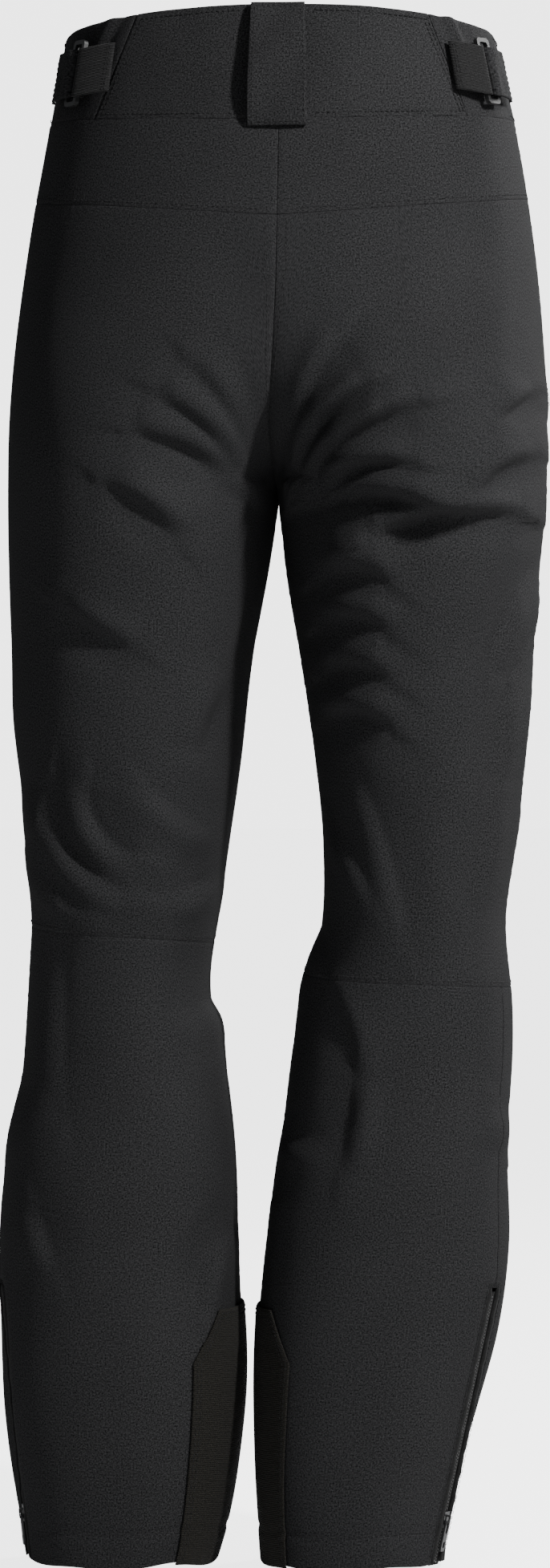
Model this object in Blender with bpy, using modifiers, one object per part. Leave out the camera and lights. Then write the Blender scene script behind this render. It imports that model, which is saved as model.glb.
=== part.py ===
"""Insulated ski pants, standing as worn, built from their sewn panels, straps and zips.

Frame: metres, +Z up. The origin is the centre of the waist opening, level with the top of the
waistband at the back. The wearer faces -Y, so the wearer's left leg is on +X.
"""

import math

import bmesh
import bpy
import numpy as np
from mathutils import Matrix, Vector

# ---------------------------------------------------------------- driving dimensions

CROTCH_Z = -0.320          # where the two legs part
HEM_Z = -1.058             # lower edge of both legs
SPREAD_HEIGHT = 0.140      # the seat turns into two legs over this height above the crotch
ROUNDNESS = 2.3            # exponent of the rounded cross-sections

SHELL = 0.0020             # thickness of the outer fabric with its backing
SEAM = 0.0006              # gap between two panels along a seam
LINING_INSET = 0.0115      # the lining hangs this far inside the outer face
GAITER_INSET = 0.0155
BAG_INSET = 0.0084

WAIST_TOP = {"back": 0.0, "side": -0.010, "front": -0.026}
WAIST_SEAM = {"back": -0.078, "side": -0.070, "front": -0.068}
YOKE_CENTRE_Z = -0.144
YOKE_SIDE_Z = -0.122
KNEE_SEAM = {1: (-0.632, -0.618), -1: (-0.652, -0.662)}     # seam height: inseam, side seam
KNEE_ARCH = 0.040          # the seam rises over the kneecap in front
WAIST_SHIFT = -0.008       # the waist sits a little to the wearer's right of the crotch

# (height, x) of the outer and inner edge of each leg, and (height, y) of its front and back
OUTER = {
    1: [(0.0, 0.145), (-0.065, 0.157), (-0.148, 0.171), (-0.258, 0.183), (-0.314, 0.185),
        (-0.424, 0.184), (-0.480, 0.183), (-0.535, 0.175), (-0.590, 0.169), (-0.646, 0.171),
        (-0.729, 0.179), (-0.784, 0.189), (-0.895, 0.192), (-0.950, 0.190), (-1.005, 0.183),
        (-1.062, 0.171)],
    -1: [(0.0, 0.146), (-0.065, 0.161), (-0.148, 0.175), (-0.258, 0.184), (-0.314, 0.185),
         (-0.369, 0.180), (-0.424, 0.172), (-0.535, 0.165), (-0.618, 0.155), (-0.673, 0.160),
         (-0.784, 0.157), (-0.839, 0.158), (-0.895, 0.151), (-0.950, 0.136), (-1.005, 0.119),
         (-1.062, 0.113)],
}
INNER = {
    1: [(-0.320, 0.0005), (-0.369, 0.007), (-0.424, 0.018), (-0.507, 0.028), (-0.590, 0.040),
        (-0.673, 0.048), (-0.701, 0.041), (-0.756, 0.033), (-0.867, 0.028), (-0.922, 0.025),
        (-0.977, 0.029), (-1.033, 0.039), (-1.062, 0.048)],
    -1: [(-0.320, 0.0005), (-0.369, 0.003), (-0.424, 0.012), (-0.507, 0.024), (-0.563, 0.030),
         (-0.618, 0.028), (-0.673, 0.013), (-0.756, 0.002), (-0.839, -0.009), (-0.895, -0.014),
         (-0.977, -0.014), (-1.033, -0.011), (-1.062, -0.009)],
}
FRONT = [(0.0, -0.100), (-0.080, -0.112), (-0.200, -0.122), (-0.320, -0.122), (-0.450, -0.115),
         (-0.600, -0.104), (-0.660, -0.100), (-0.800, -0.084), (-0.950, -0.076),
         (-1.062, -0.072)]
BACK = [(0.0, 0.104), (-0.080, 0.116), (-0.200, 0.142), (-0.280, 0.148), (-0.340, 0.136),
        (-0.450, 0.112), (-0.600, 0.088), (-0.660, 0.078), (-0.800, 0.084), (-0.950, 0.088),
        (-1.062, 0.082)]

SIDES = {1: "left", -1: "right"}

# ---------------------------------------------------------------- scene, materials

for old in list(bpy.data.objects):
    bpy.data.objects.remove(old, do_unlink=True)

PARTS = bpy.data.collections.new("ski_pants")
CUTTERS = bpy.data.collections.new("cutters")
for collection in (PARTS, CUTTERS):
    bpy.context.scene.collection.children.link(collection)


def material(name, colour, roughness, metallic=0.0):
    made = bpy.data.materials.new(name)
    made.use_nodes = True
    shader = made.node_tree.nodes["Principled BSDF"]
    shader.inputs["Base Color"].default_value = (*colour, 1.0)
    shader.inputs["Roughness"].default_value = roughness
    shader.inputs["Metallic"].default_value = metallic
    return made


FABRIC = material("shell_fabric", (0.024, 0.024, 0.025), 0.75)
GUARD = material("guard_fabric", (0.030, 0.028, 0.026), 0.65)
LINING = material("lining_fabric", (0.045, 0.045, 0.050), 0.60)
ELASTIC = material("elastic_webbing", (0.020, 0.020, 0.020), 0.80)
TAPE = material("zip_tape", (0.018, 0.018, 0.018), 0.70)
PLASTIC = material("black_plastic", (0.012, 0.012, 0.012), 0.30)
METAL = material("dark_metal", (0.060, 0.060, 0.065), 0.35, 0.9)


def add_object(name, mesh, look, collection=PARTS):
    made = bpy.data.objects.new(name, mesh)
    collection.objects.link(made)
    mesh.materials.append(look)
    return made


# ---------------------------------------------------------------- the shape of the body

def smooth_curve(stations):
    """Returns a function through the stations, given from the top down."""
    heights = np.array([z for z, _ in reversed(stations)])
    values = np.array([v for _, v in reversed(stations)])
    slopes = np.gradient(values, heights)

    def at(z):
        z = min(max(z, heights[0]), heights[-1])
        i = min(max(int(np.searchsorted(heights, z)) - 1, 0), len(heights) - 2)
        span = heights[i + 1] - heights[i]
        t = (z - heights[i]) / span
        start = (2 * t ** 3 - 3 * t ** 2 + 1) * values[i] + (t ** 3 - 2 * t ** 2 + t) * span * slopes[i]
        end = (3 * t ** 2 - 2 * t ** 3) * values[i + 1] + (t ** 3 - t ** 2) * span * slopes[i + 1]
        return float(start + end)

    return at


OUTER_AT = {side: smooth_curve(OUTER[side]) for side in SIDES}
INNER_AT = {side: smooth_curve(INNER[side]) for side in SIDES}
FRONT_AT = smooth_curve(FRONT)
BACK_AT = smooth_curve(BACK)


def mix(a, b, t):
    return a + (b - a) * t


def body_point(side, u, z, inset=0.0, cut=SEAM / 2):
    """Point of the body on one side, at height z.

    u is 0 on the outer side of the leg, 1 at the centre back or inseam, -1 at the centre front
    or inseam. Above the crotch the cross-section is cut at the middle plane, `cut` away from it.
    """
    front, back = FRONT_AT(z), BACK_AT(z)
    centre_y = (front + back) / 2
    depth = (back - front) / 2 - inset
    shift = 0.0
    if z >= CROTCH_Z:
        rise = min((z - CROTCH_Z) / SPREAD_HEIGHT, 1.0)
        shift = WAIST_SHIFT * rise ** 2 * (3 - 2 * rise)
        ratio = 1.0 - rise ** 1.2
        width = (OUTER_AT[side](z) - side * shift) / (1.0 + ratio)
        centre_x = ratio * width
    else:
        width = (OUTER_AT[side](z) - INNER_AT[side](z)) / 2
        centre_x = OUTER_AT[side](z) - width
    width -= inset
    reach = math.pi
    if z >= CROTCH_Z:
        share = min((centre_x - cut) / width, 1.0)
        reach = math.acos(-math.copysign(abs(share) ** (ROUNDNESS / 2), share))
    angle = u * reach
    power = 2.0 / ROUNDNESS
    across = math.copysign(abs(math.cos(angle)) ** power, math.cos(angle))
    along = math.copysign(abs(math.sin(angle)) ** power, math.sin(angle))
    return Vector((shift + side * (centre_x + width * across), centre_y + depth * along, z))


def around_point(v, z, inset=0.0):
    """Point of the waist: v is 0 at the centre back, 1 at the front by the left, -1 by the right."""
    side = 1 if v >= 0 else -1
    return body_point(side, 1.0 - 2.0 * abs(v), z, inset, cut=0.0)


def ring_height(levels, v):
    """Height of a waist edge that has one level at the back, one at the sides, one in front."""
    v = abs(v)
    ease = 0.5 - 0.5 * math.cos(math.pi * min(v * 2, 1.0))
    if v <= 0.5:
        return mix(levels["back"], levels["side"], ease)
    ease = 0.5 - 0.5 * math.cos(math.pi * (v * 2 - 1.0))
    return mix(levels["side"], levels["front"], ease)


def waist_seam(side, u):
    return ring_height(WAIST_SEAM, side * (1.0 - u) / 2)


# ---------------------------------------------------------------- builders

def sheet(name, point, columns, rows, thickness, look, flip=False, offset=-1.0):
    """A sewn piece: a grid of point(s, t) over the unit square, thickened inward."""
    vertices = [point(i / columns, j / rows) for j in range(rows + 1) for i in range(columns + 1)]
    faces = []
    for j in range(rows):
        for i in range(columns):
            first = j * (columns + 1) + i
            face = [first, first + 1, first + columns + 2, first + columns + 1]
            faces.append(face[::-1] if flip else face)
    mesh = bpy.data.meshes.new(name)
    mesh.from_pydata([tuple(v) for v in vertices], [], faces)
    made = add_object(name, mesh, look)
    mesh.shade_smooth()
    thicken(made, thickness, offset)
    return made


def tube(name, point, around, rows, thickness, look):
    """A sleeve closed on itself: point(s, t) with s running once around, from 0 to 1."""
    vertices = [point(i / around, j / rows) for j in range(rows + 1) for i in range(around)]
    faces = []
    for j in range(rows):
        for i in range(around):
            here, following = j * around + i, j * around + (i + 1) % around
            faces.append([here, following, following + around, here + around])
    mesh = bpy.data.meshes.new(name)
    mesh.from_pydata([tuple(v) for v in vertices], [], faces)
    made = add_object(name, mesh, look)
    mesh.shade_smooth()
    thicken(made, thickness)
    return made


def thicken(made, thickness, offset=-1.0):
    solidify = made.modifiers.new("thickness", "SOLIDIFY")
    solidify.thickness = thickness
    solidify.offset = offset
    solidify.use_even_offset = True
    solidify.thickness_clamp = 1.0


def panel(name, side, start, end, low, high, columns, rows, look=FABRIC, inset=0.0,
          thickness=SHELL):
    """A panel of the body between two upright edges u(z) and two level edges z(u)."""

    def point(s, t):
        u = mix(start(0.0), end(0.0), s)
        z = mix(low(u), high(u), t)
        u = mix(start(z), end(z), s)
        return body_point(side, u, mix(low(u), high(u), t), inset)

    return sheet(name, point, columns, rows, thickness, look, flip=side < 0)


def box(name, frame, size, centre, look, bevel=0.0):
    """A box in a local frame, with its edges rounded."""
    bpy.ops.mesh.primitive_cube_add(size=1.0)
    made = bpy.context.active_object
    made.name = made.data.name = name
    for other in made.users_collection:
        other.objects.unlink(made)
    PARTS.objects.link(made)
    made.data.transform(Matrix.Diagonal((*size, 1.0)))
    made.matrix_world = frame @ Matrix.Translation(centre)
    made.data.materials.append(look)
    if bevel:
        rounding = made.modifiers.new("rounding", "BEVEL")
        rounding.width = bevel
        rounding.segments = 1
    return made


def fuse(made, other):
    """Joins another solid to this one and removes it."""
    union = made.modifiers.new("join", "BOOLEAN")
    union.operation = "UNION"
    union.object = other
    bpy.context.view_layer.update()
    graph = bpy.context.evaluated_depsgraph_get()
    joined = bpy.data.meshes.new_from_object(made.evaluated_get(graph))
    made.modifiers.clear()
    made.data = joined
    bpy.data.objects.remove(other, do_unlink=True)


def cut(made, cutter):
    opening = made.modifiers.new("opening", "BOOLEAN")
    opening.operation = "DIFFERENCE"
    opening.object = cutter


def cutter_box(name, frame, size, centre):
    made = box(name, frame, size, centre, FABRIC)
    PARTS.objects.unlink(made)
    CUTTERS.objects.link(made)
    made.hide_render = True
    made.display_type = "WIRE"
    return made


def flat_outline(name, frame, outlines, thickness, look):
    """A flat plate from closed outlines, the first outside and the others its holes."""
    curve = bpy.data.curves.new(name, "CURVE")
    curve.dimensions = "2D"
    curve.fill_mode = "BOTH"
    curve.extrude = thickness / 2
    for outline in outlines:
        spline = curve.splines.new("POLY")
        spline.points.add(len(outline) - 1)
        spline.use_cyclic_u = True
        for spot, (x, y) in zip(spline.points, outline):
            spot.co = (x, y, 0.0, 1.0)
    made = add_object(name, curve, look)
    made.matrix_world = frame
    return made


def rounded_rectangle(width, height, radius, centre=(0.0, 0.0), steps=3):
    points = []
    for quarter, (sx, sy) in enumerate(((1, 1), (-1, 1), (-1, -1), (1, -1))):
        corner = (centre[0] + sx * (width / 2 - radius), centre[1] + sy * (height / 2 - radius))
        for k in range(steps + 1):
            angle = math.pi / 2 * (quarter + k / steps)
            points.append((corner[0] + radius * math.cos(angle), corner[1] + radius * math.sin(angle)))
    return points


def frame_from(origin, along, outward):
    """Local frame: Y along the given direction, Z outward, X across."""
    y = along.normalized()
    z = (outward - outward.dot(y) * y).normalized()
    x = y.cross(z)
    turned = Matrix((x, y, z)).transposed().to_4x4()
    return Matrix.Translation(origin) @ turned


def along_waist(v, distance, z, stand):
    """The place along the waist that lies a distance from v, as another v."""
    step = 0.01
    ahead, behind = around_point(v + step, z, -stand), around_point(v - step, z, -stand)
    rate = (ahead - behind).length / (2 * step)
    return v + distance / rate


def waist_frame(v, z, stand):
    """Local frame on the waist: Y up along the slope of the cloth, Z outward."""
    middle = around_point(v, z, -stand)
    slope = around_point(v, z + 0.01, -stand) - around_point(v, z - 0.01, -stand)
    return frame_from(middle, slope, middle - around_point(v, z, 0.01))


# ---------------------------------------------------------------- outer shell

EDGE = 0.0018              # half a seam gap, as a share of half the way round
HEM_ZIP_U = {1: 0.10, -1: 0.13}


def edge(value):
    return lambda _: value


def knee_seam(side):
    inseam, outside = KNEE_SEAM[side]
    return lambda u: mix(outside, inseam, abs(u)) + KNEE_ARCH * math.sin(math.pi * min(u, 0.0)) ** 2


def yoke_seam(u):
    return mix(YOKE_SIDE_Z, YOKE_CENTRE_Z, u)


def build_shell(side, word):
    """The seven panels of one side: yoke, back and front to the knee, back and front below it."""
    at_knee, split = knee_seam(side), HEM_ZIP_U[side]

    def under_waist(u):
        return waist_seam(side, u) - SEAM

    def under_yoke(u):
        return yoke_seam(u) - SEAM

    def under_knee(u):
        return at_knee(u) - 3 * SEAM

    panel(f"back_yoke_{word}", side, edge(EDGE), edge(1 - EDGE), yoke_seam, under_waist, 10, 3)
    panel(f"back_panel_{word}", side, edge(EDGE), edge(1 - EDGE), at_knee, under_yoke, 10, 16)
    panel(f"front_panel_{word}", side, edge(EDGE - 1), edge(-EDGE), at_knee, under_waist, 10, 16)
    panel(f"lower_back_{word}", side, edge(split + EDGE), edge(1 - EDGE), edge(HEM_Z),
          under_knee, 9, 12)
    panel(f"lower_front_{word}", side, edge(EDGE - 1), edge(split - EDGE), edge(HEM_Z),
          under_knee, 12, 12)


GUARD_TOP_Z = -0.880
GUARD_KINK_Z = -0.915
GUARD_BACK = (0.81, 0.71)      # how far round the guard reaches, at its top and below its kink
GUARD_FRONT = (1.14, 1.22)
GUARD_OUTSET = 0.0027
GUARD_THICKNESS = 0.0010
GUARD_HEM_Z = HEM_Z + 0.001


def build_scuff_guard(side, word):
    """An abrasion patch sewn over the inside of the ankle, with a slanted upper corner."""

    def limit(reach):
        def at(z):
            t = min(max((GUARD_TOP_Z - z) / (GUARD_TOP_Z - GUARD_KINK_Z), 0.0), 1.0)
            return mix(reach[0], reach[1], t)
        return at

    panel(f"scuff_guard_{word}", side, limit(GUARD_BACK), limit(GUARD_FRONT), edge(GUARD_HEM_Z),
          edge(GUARD_TOP_Z), 12, 8, GUARD, -GUARD_OUTSET, GUARD_THICKNESS)


# ---------------------------------------------------------------- waist

BAND_THICKNESS = 0.0024
BACK_BAND_END = {1: (0.262, 0.202), -1: (0.286, 0.234)}     # its slanted ends: at the seam, on top
GUSSET_END = 0.44
FRONT_BAND_END = 0.998
BAND_GAP = 0.0030
FACING_END = 0.996
FACING_INSET = 0.0044
FACING_THICKNESS = 0.0012


def band(name, start, end, columns, rows, inset, thickness, look, levels=None):
    """A piece of the waist between two ends, each given as (v at the seam, v at the top)."""
    low, high = levels or (lambda v: ring_height(WAIST_SEAM, v), lambda v: ring_height(WAIST_TOP, v))

    def point(s, t):
        v = mix(mix(start[0], end[0], s), mix(start[1], end[1], s), t)
        v = v - 2.0 if v > 1.0 else v
        return around_point(v, mix(low(v), high(v), t), inset)

    return sheet(name, point, columns, rows, thickness, look, flip=True)


def level_pair(low, high):
    return lambda _: low, lambda _: high


def build_waist():
    right_end = tuple(-v for v in BACK_BAND_END[-1])
    band("waistband_back", right_end, BACK_BAND_END[1], 24, 2, 0.0, BAND_THICKNESS, FABRIC)
    for side, word in SIDES.items():
        lower, upper = BACK_BAND_END[side]
        inner = (lower + BAND_GAP, upper + BAND_GAP)
        outer = (GUSSET_END, GUSSET_END)
        front = (GUSSET_END + BAND_GAP, GUSSET_END + BAND_GAP)
        closing = (FRONT_BAND_END, FRONT_BAND_END)
        ends = ((inner, outer), (front, closing))
        for name, (start, end) in zip((f"waist_gusset_{word}", f"waistband_front_{word}"), ends):
            if side < 0:
                start, end = tuple(-v for v in end), tuple(-v for v in start)
            band(name, start, end, 12, 2, 0.0, BAND_THICKNESS, FABRIC)
    band("waistband_facing", (-FACING_END, -FACING_END), (FACING_END, FACING_END), 48, 2,
         FACING_INSET, FACING_THICKNESS, LINING)


CLOSURE_OUTSET = 0.0048
CLOSURE_REACH = (0.935, 1.060)        # from the left of the centre front to the right of it
CLOSURE_LEVELS = (-0.064, -0.030)
CLOSURE_THICKNESS = 0.0016
CAP_RADIUS = 0.0068
CAP_THICKNESS = 0.0022
STUD_RADIUS = 0.0042
STUD_THICKNESS = 0.0016
CAP_STAND = CLOSURE_OUTSET + 0.0017
STUD_STAND = 0.0017
SNAP_HEIGHTS = (-0.0395, -0.0545)
SNAP_V = -0.969


def build_closure():
    """The tab that closes the waist in front, with two snaps one above the other."""
    start, end = CLOSURE_REACH
    band("waist_closure_tab", (start, start), (end, end), 12, 2, -CLOSURE_OUTSET, CLOSURE_THICKNESS,
         FABRIC, level_pair(*CLOSURE_LEVELS))
    for height, word in zip(SNAP_HEIGHTS, ("upper", "lower")):
        place = waist_frame(SNAP_V, height, 0.0)
        disc(f"snap_cap_{word}", place, CAP_RADIUS, CAP_THICKNESS, CAP_STAND, METAL)
        disc(f"snap_stud_{word}", place, STUD_RADIUS, STUD_THICKNESS, STUD_STAND, METAL)


def disc(name, frame, radius, thickness, height, look):
    """A round snap part whose middle stands at a height above the surface."""
    bpy.ops.mesh.primitive_cylinder_add(vertices=16, radius=radius, depth=thickness)
    made = bpy.context.active_object
    made.name = made.data.name = name
    for holder in made.users_collection:
        holder.objects.unlink(made)
    PARTS.objects.link(made)
    made.matrix_world = frame @ Matrix.Translation((0, 0, height))
    made.data.materials.append(look)
    rounding = made.modifiers.new("rounding", "BEVEL")
    rounding.width = thickness * 0.3
    rounding.segments = 1
    rounding.limit_method = "ANGLE"
    made.data.shade_smooth()
    made.data.set_sharp_from_angle(angle=math.radians(40))
    return made


BACK_LOOP_HALF_V = 0.0285
LOOP_TOP_Z = 0.004
LOOP_FOOT_Z = -0.084
FRONT_LOOP_HALF_V = 0.0120
FRONT_LOOPS_V = 0.70
LOOP_STAND = 0.0024        # the sewn ends of a loop clear the waistband by this much
BACK_LOOP_SWELL = 0.0080
FRONT_LOOP_SWELL = 0.0055
LOOP_THICKNESS = 0.0016


def belt_loop(name, v, half, top, foot, swell):
    """A strap standing off the waistband between its two sewn ends."""

    def point(s, t):
        spot = mix(v - half, v + half, s)
        z = mix(foot, top, t)
        stand = LOOP_STAND + swell * math.sin(math.pi * t) ** 0.6
        return around_point(spot, z, -stand)

    return sheet(name, point, 4, 10, LOOP_THICKNESS, FABRIC, flip=True)


def build_loops():
    belt_loop("belt_loop_back", 0.0, BACK_LOOP_HALF_V, LOOP_TOP_Z, LOOP_FOOT_Z, BACK_LOOP_SWELL)
    for side, word in SIDES.items():
        v = side * FRONT_LOOPS_V
        top, foot = ring_height(WAIST_TOP, v) - 0.003, ring_height(WAIST_SEAM, v) + 0.002
        belt_loop(f"belt_loop_front_{word}", v, FRONT_LOOP_HALF_V, top, foot, FRONT_LOOP_SWELL)


RING_V = {1: 0.310, -1: 0.343}
RING_SIZE = (0.015, 0.046)
RING_BAR = 0.003
RING_CORNER = 0.003
RING_HOLE_CORNER = 0.0012
RING_THICKNESS = 0.0030
RING_CENTRE_Z = -0.041
STRAP_HALF_HEIGHT = 0.0165
STRAP_THICKNESS = 0.0012
RING_STAND = 0.0056
FOLD_RADIUS = 0.0036       # the straps turn round the bars of the ring with this radius
SEWN_STAND = 0.0034        # stand-off of a strap's sewn end
ELASTIC_REACH = 0.024
ELASTIC_LEAN = 0.10        # the straps slant: their height changes by this share of their length
TAB_REACH = 0.026
TAB_LEAN = -0.05


def strap_path(reach, loop_side):
    """(distance from the ring's middle, stand-off) of a strap folded round one bar of the ring."""
    bar = loop_side * (RING_SIZE[0] - RING_BAR) / 2
    path = []
    for share in (0.0, 0.25, 0.5, 0.75, 1.0):
        stand = mix(SEWN_STAND, RING_STAND + FOLD_RADIUS, share ** 0.5)
        path.append((bar + loop_side * reach * (1 - share), stand))
    for turned in (30, 60, 90, 120, 150, 180):
        angle = math.radians(90 - turned)
        stand = RING_STAND + FOLD_RADIUS * math.sin(angle)
        path.append((bar - loop_side * FOLD_RADIUS * math.cos(angle), stand))
    return path


def build_adjuster(side, word):
    """Elastic, ring and pull tab: both straps are folded round a bar of the ring."""
    half = STRAP_HALF_HEIGHT

    def strap(name, reach, loop_side, look, lean):
        path = strap_path(reach, loop_side)

        def point(s, t):
            spot, stand = path[round(s * (len(path) - 1))]
            z = RING_CENTRE_Z + mix(-half, half, t) + lean * max(abs(spot) - 0.01, 0.0)
            v = along_waist(side * RING_V[side], side * spot, RING_CENTRE_Z, RING_STAND)
            return around_point(v, z, -stand)

        sheet(name, point, len(path) - 1, 2, STRAP_THICKNESS, look, side * loop_side < 0, 0.0)

    strap(f"adjuster_elastic_{word}", ELASTIC_REACH, -1, ELASTIC, ELASTIC_LEAN)
    strap(f"adjuster_tab_{word}", TAB_REACH, 1, FABRIC, TAB_LEAN)
    place = waist_frame(side * RING_V[side], RING_CENTRE_Z, RING_STAND)
    outer = rounded_rectangle(*RING_SIZE, RING_CORNER)
    inner_size = (RING_SIZE[0] - 2 * RING_BAR, RING_SIZE[1] - 2 * RING_BAR)
    hole = rounded_rectangle(*inner_size, RING_HOLE_CORNER)
    flat_outline(f"adjuster_ring_{word}", place, [outer, hole], RING_THICKNESS, PLASTIC)


# ---------------------------------------------------------------- zips

TOOTH_GAP = 0.0005
TOOTH_REACH = 0.0022
TAPE_WIDTH = 0.0088
TAPE_HALF = 0.0005
TOOTH_HALF = 0.0012
SLIDER_LENGTH = 0.0115
SLIDER_HALF_WIDTH = 0.0045
PLATE_GAP = 0.0003
PLATE = 0.0011
WEB_INSET = 0.001          # the web inside the slider stops this far short of both its ends
BRIDGE_TOP = 0.0056
BRIDGE_LENGTH = 0.0072
BRIDGE_HOLE = (0.0048, 0.0021)
BRIDGE_THICKNESS = 0.0020
PIVOT = Vector((0.0, -0.0012, 0.0041))
PULLER_WIDTH = 0.0072
PULLER_LENGTH = 0.021
PULLER_THICKNESS = 0.0012
PULLER_EYE = (0.0031, 0.0072)
PULLER_TIP_HOLE = (0.0031, 0.0042)
SLOT_HALF = 0.0098
ZIP_SINK = 0.0020          # the zip lies this far below the face of the cloth
HEM_SLIDER_HEIGHT = 0.032
STOP_DISTANCE = 0.009      # a closed slider's middle stands this far below the upper end


def extruded(name, frame, outline, length, look):
    """A bar with the given outline across (X) and outward (Z), running up along Y."""
    turned = frame @ Matrix.Translation((0, length / 2, 0)) @ Matrix.Rotation(math.pi / 2, 4, "X")
    return flat_outline(name, turned, [outline], length, look)


def as_mesh(made):
    """Turns a capped curve into a welded mesh object of the same name."""
    bpy.context.view_layer.update()
    graph = bpy.context.evaluated_depsgraph_get()
    mesh = bpy.data.meshes.new_from_object(made.evaluated_get(graph))
    edit = bmesh.new()
    edit.from_mesh(mesh)
    bmesh.ops.remove_doubles(edit, verts=edit.verts, dist=0.00001)
    edit.to_mesh(mesh)
    edit.free()
    name, placed, look = made.name, made.matrix_world.copy(), made.data.materials[0]
    bpy.data.objects.remove(made, do_unlink=True)
    mesh.materials.clear()
    solid = add_object(name, mesh, look)
    solid.matrix_world = placed
    return solid


def build_zip(name, words, frame, length, slider_at, panels):
    """Two tapes with their rows of teeth, the slider over them and the puller on its bridge.

    The slider's middle stands slider_at above the lower end; the slot is cut in the panels.
    """
    for word, sign in zip(words, (-1, 1)):
        outline = [(TOOTH_GAP, -TOOTH_HALF), (TOOTH_REACH, -TOOTH_HALF), (TOOTH_REACH, -TAPE_HALF),
                   (TAPE_WIDTH, -TAPE_HALF), (TAPE_WIDTH, TAPE_HALF), (TOOTH_REACH, TAPE_HALF),
                   (TOOTH_REACH, TOOTH_HALF), (TOOTH_GAP, TOOTH_HALF)]
        extruded(f"{name}_tape_{word}", frame, [(sign * x, z) for x, z in outline], length, TAPE)
    seat = frame @ Matrix.Translation((0, slider_at, 0))
    low, high = TOOTH_HALF + PLATE_GAP, TOOTH_HALF + PLATE_GAP + PLATE
    plate = (2 * SLIDER_HALF_WIDTH, SLIDER_LENGTH, PLATE)
    body = box(f"{name}_slider", seat, plate, (0, 0, (low + high) / 2), METAL)
    web = (2 * (TOOTH_GAP - PLATE_GAP), SLIDER_LENGTH - 2 * WEB_INSET, 2 * low + PLATE)
    fuse(body, box(f"{name}_web", seat, web, (0, 0, 0), METAL))
    fuse(body, box(f"{name}_under_plate", seat, plate, (0, 0, -(low + high) / 2), METAL))
    side_on = seat @ Matrix.Rotation(math.pi / 2, 4, "Z") @ Matrix.Rotation(math.pi / 2, 4, "X")
    foot = high - 0.0003
    middle = (foot + BRIDGE_TOP) / 2
    outer = rounded_rectangle(BRIDGE_LENGTH, BRIDGE_TOP - foot, 0.0008, (0, middle))
    hole = rounded_rectangle(*BRIDGE_HOLE, 0.0004, (0, PIVOT.z))
    bridge = as_mesh(flat_outline(f"{name}_bridge", side_on, [outer, hole], BRIDGE_THICKNESS, METAL))
    fuse(body, bridge)
    half_bar = PULLER_THICKNESS / 2
    centre = (0, PIVOT.y + half_bar - PULLER_LENGTH / 2)
    outer = rounded_rectangle(PULLER_WIDTH, PULLER_LENGTH, 0.0018, centre)
    hole = rounded_rectangle(*PULLER_EYE, 0.0008, (0, PIVOT.y - half_bar - PULLER_EYE[1] / 2))
    tip = rounded_rectangle(*PULLER_TIP_HOLE, 0.0010, (0, PIVOT.y - PULLER_LENGTH + 0.0052))
    lifted = seat @ Matrix.Translation((0, 0, PIVOT.z))
    flat_outline(f"{name}_puller", lifted, [outer, hole, tip], PULLER_THICKNESS, METAL)
    slot = cutter_box(f"{name}_slot", frame, (2 * SLOT_HALF, length + 0.002, 0.030),
                      (0, length / 2, 0))
    for target in panels:
        cut(bpy.data.objects[target], slot)


def straight_zip(side, low, high):
    """Frame and length of a zip between two points of the body, given as (u, z)."""
    lower, upper = body_point(side, *low), body_point(side, *high)
    u, z = (low[0] + high[0]) / 2, (low[1] + high[1]) / 2
    across = body_point(side, u + 0.03, z) - body_point(side, u - 0.03, z)
    outward = across.cross(upper - lower).normalized()
    outward *= math.copysign(1.0, outward.dot(body_point(side, u, z) - body_point(side, u, z, 0.01)))
    return frame_from(lower - outward * ZIP_SINK, upper - lower, outward), (upper - lower).length


HEM_ZIP_TOP_Z = -0.868
HEM_ZIP_BOTTOM_Z = -1.054
POCKET_TOP = (-0.27, -0.108)
POCKET_BOTTOM = (-0.11, -0.258)
FLY_TOP_Z = -0.080
FLY_BOTTOM_Z = -0.212


def build_zips():
    for side, word in SIDES.items():
        u = HEM_ZIP_U[side]
        frame, length = straight_zip(side, (u, HEM_ZIP_BOTTOM_Z), (u, HEM_ZIP_TOP_Z))
        words = ("back", "front") if side > 0 else ("front", "back")
        build_zip(f"hem_zip_{word}", words, frame, length, HEM_SLIDER_HEIGHT,
                  (f"lower_back_{word}", f"lower_front_{word}"))
        frame, length = straight_zip(side, POCKET_BOTTOM, POCKET_TOP)
        words = ("side", "front") if side > 0 else ("front", "side")
        build_zip(f"pocket_zip_{word}", words, frame, length, length - STOP_DISTANCE,
                  (f"front_panel_{word}",))
    lower, upper = around_point(1.0, FLY_BOTTOM_Z), around_point(1.0, FLY_TOP_Z)
    along = upper - lower
    outward = Vector((0, -1, 0))
    frame = frame_from(lower - outward * ZIP_SINK, along, outward)
    build_zip("fly_zip", ("right", "left"), frame, along.length, along.length - STOP_DISTANCE,
              ("front_panel_left", "front_panel_right"))


# ---------------------------------------------------------------- inside

BAG_REACH = (-0.42, -0.04)
BAG_LEVELS = (-0.330, -0.112)
BAG_THICKNESS = 0.0016
LINING_HEM_Z = -1.000
LINING_THICKNESS = 0.0012
GAITER_LEVELS = (-1.034, -0.868)
FLY_GUARD_REACH = 0.055
FLY_GUARD_INSET = 0.0093


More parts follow.
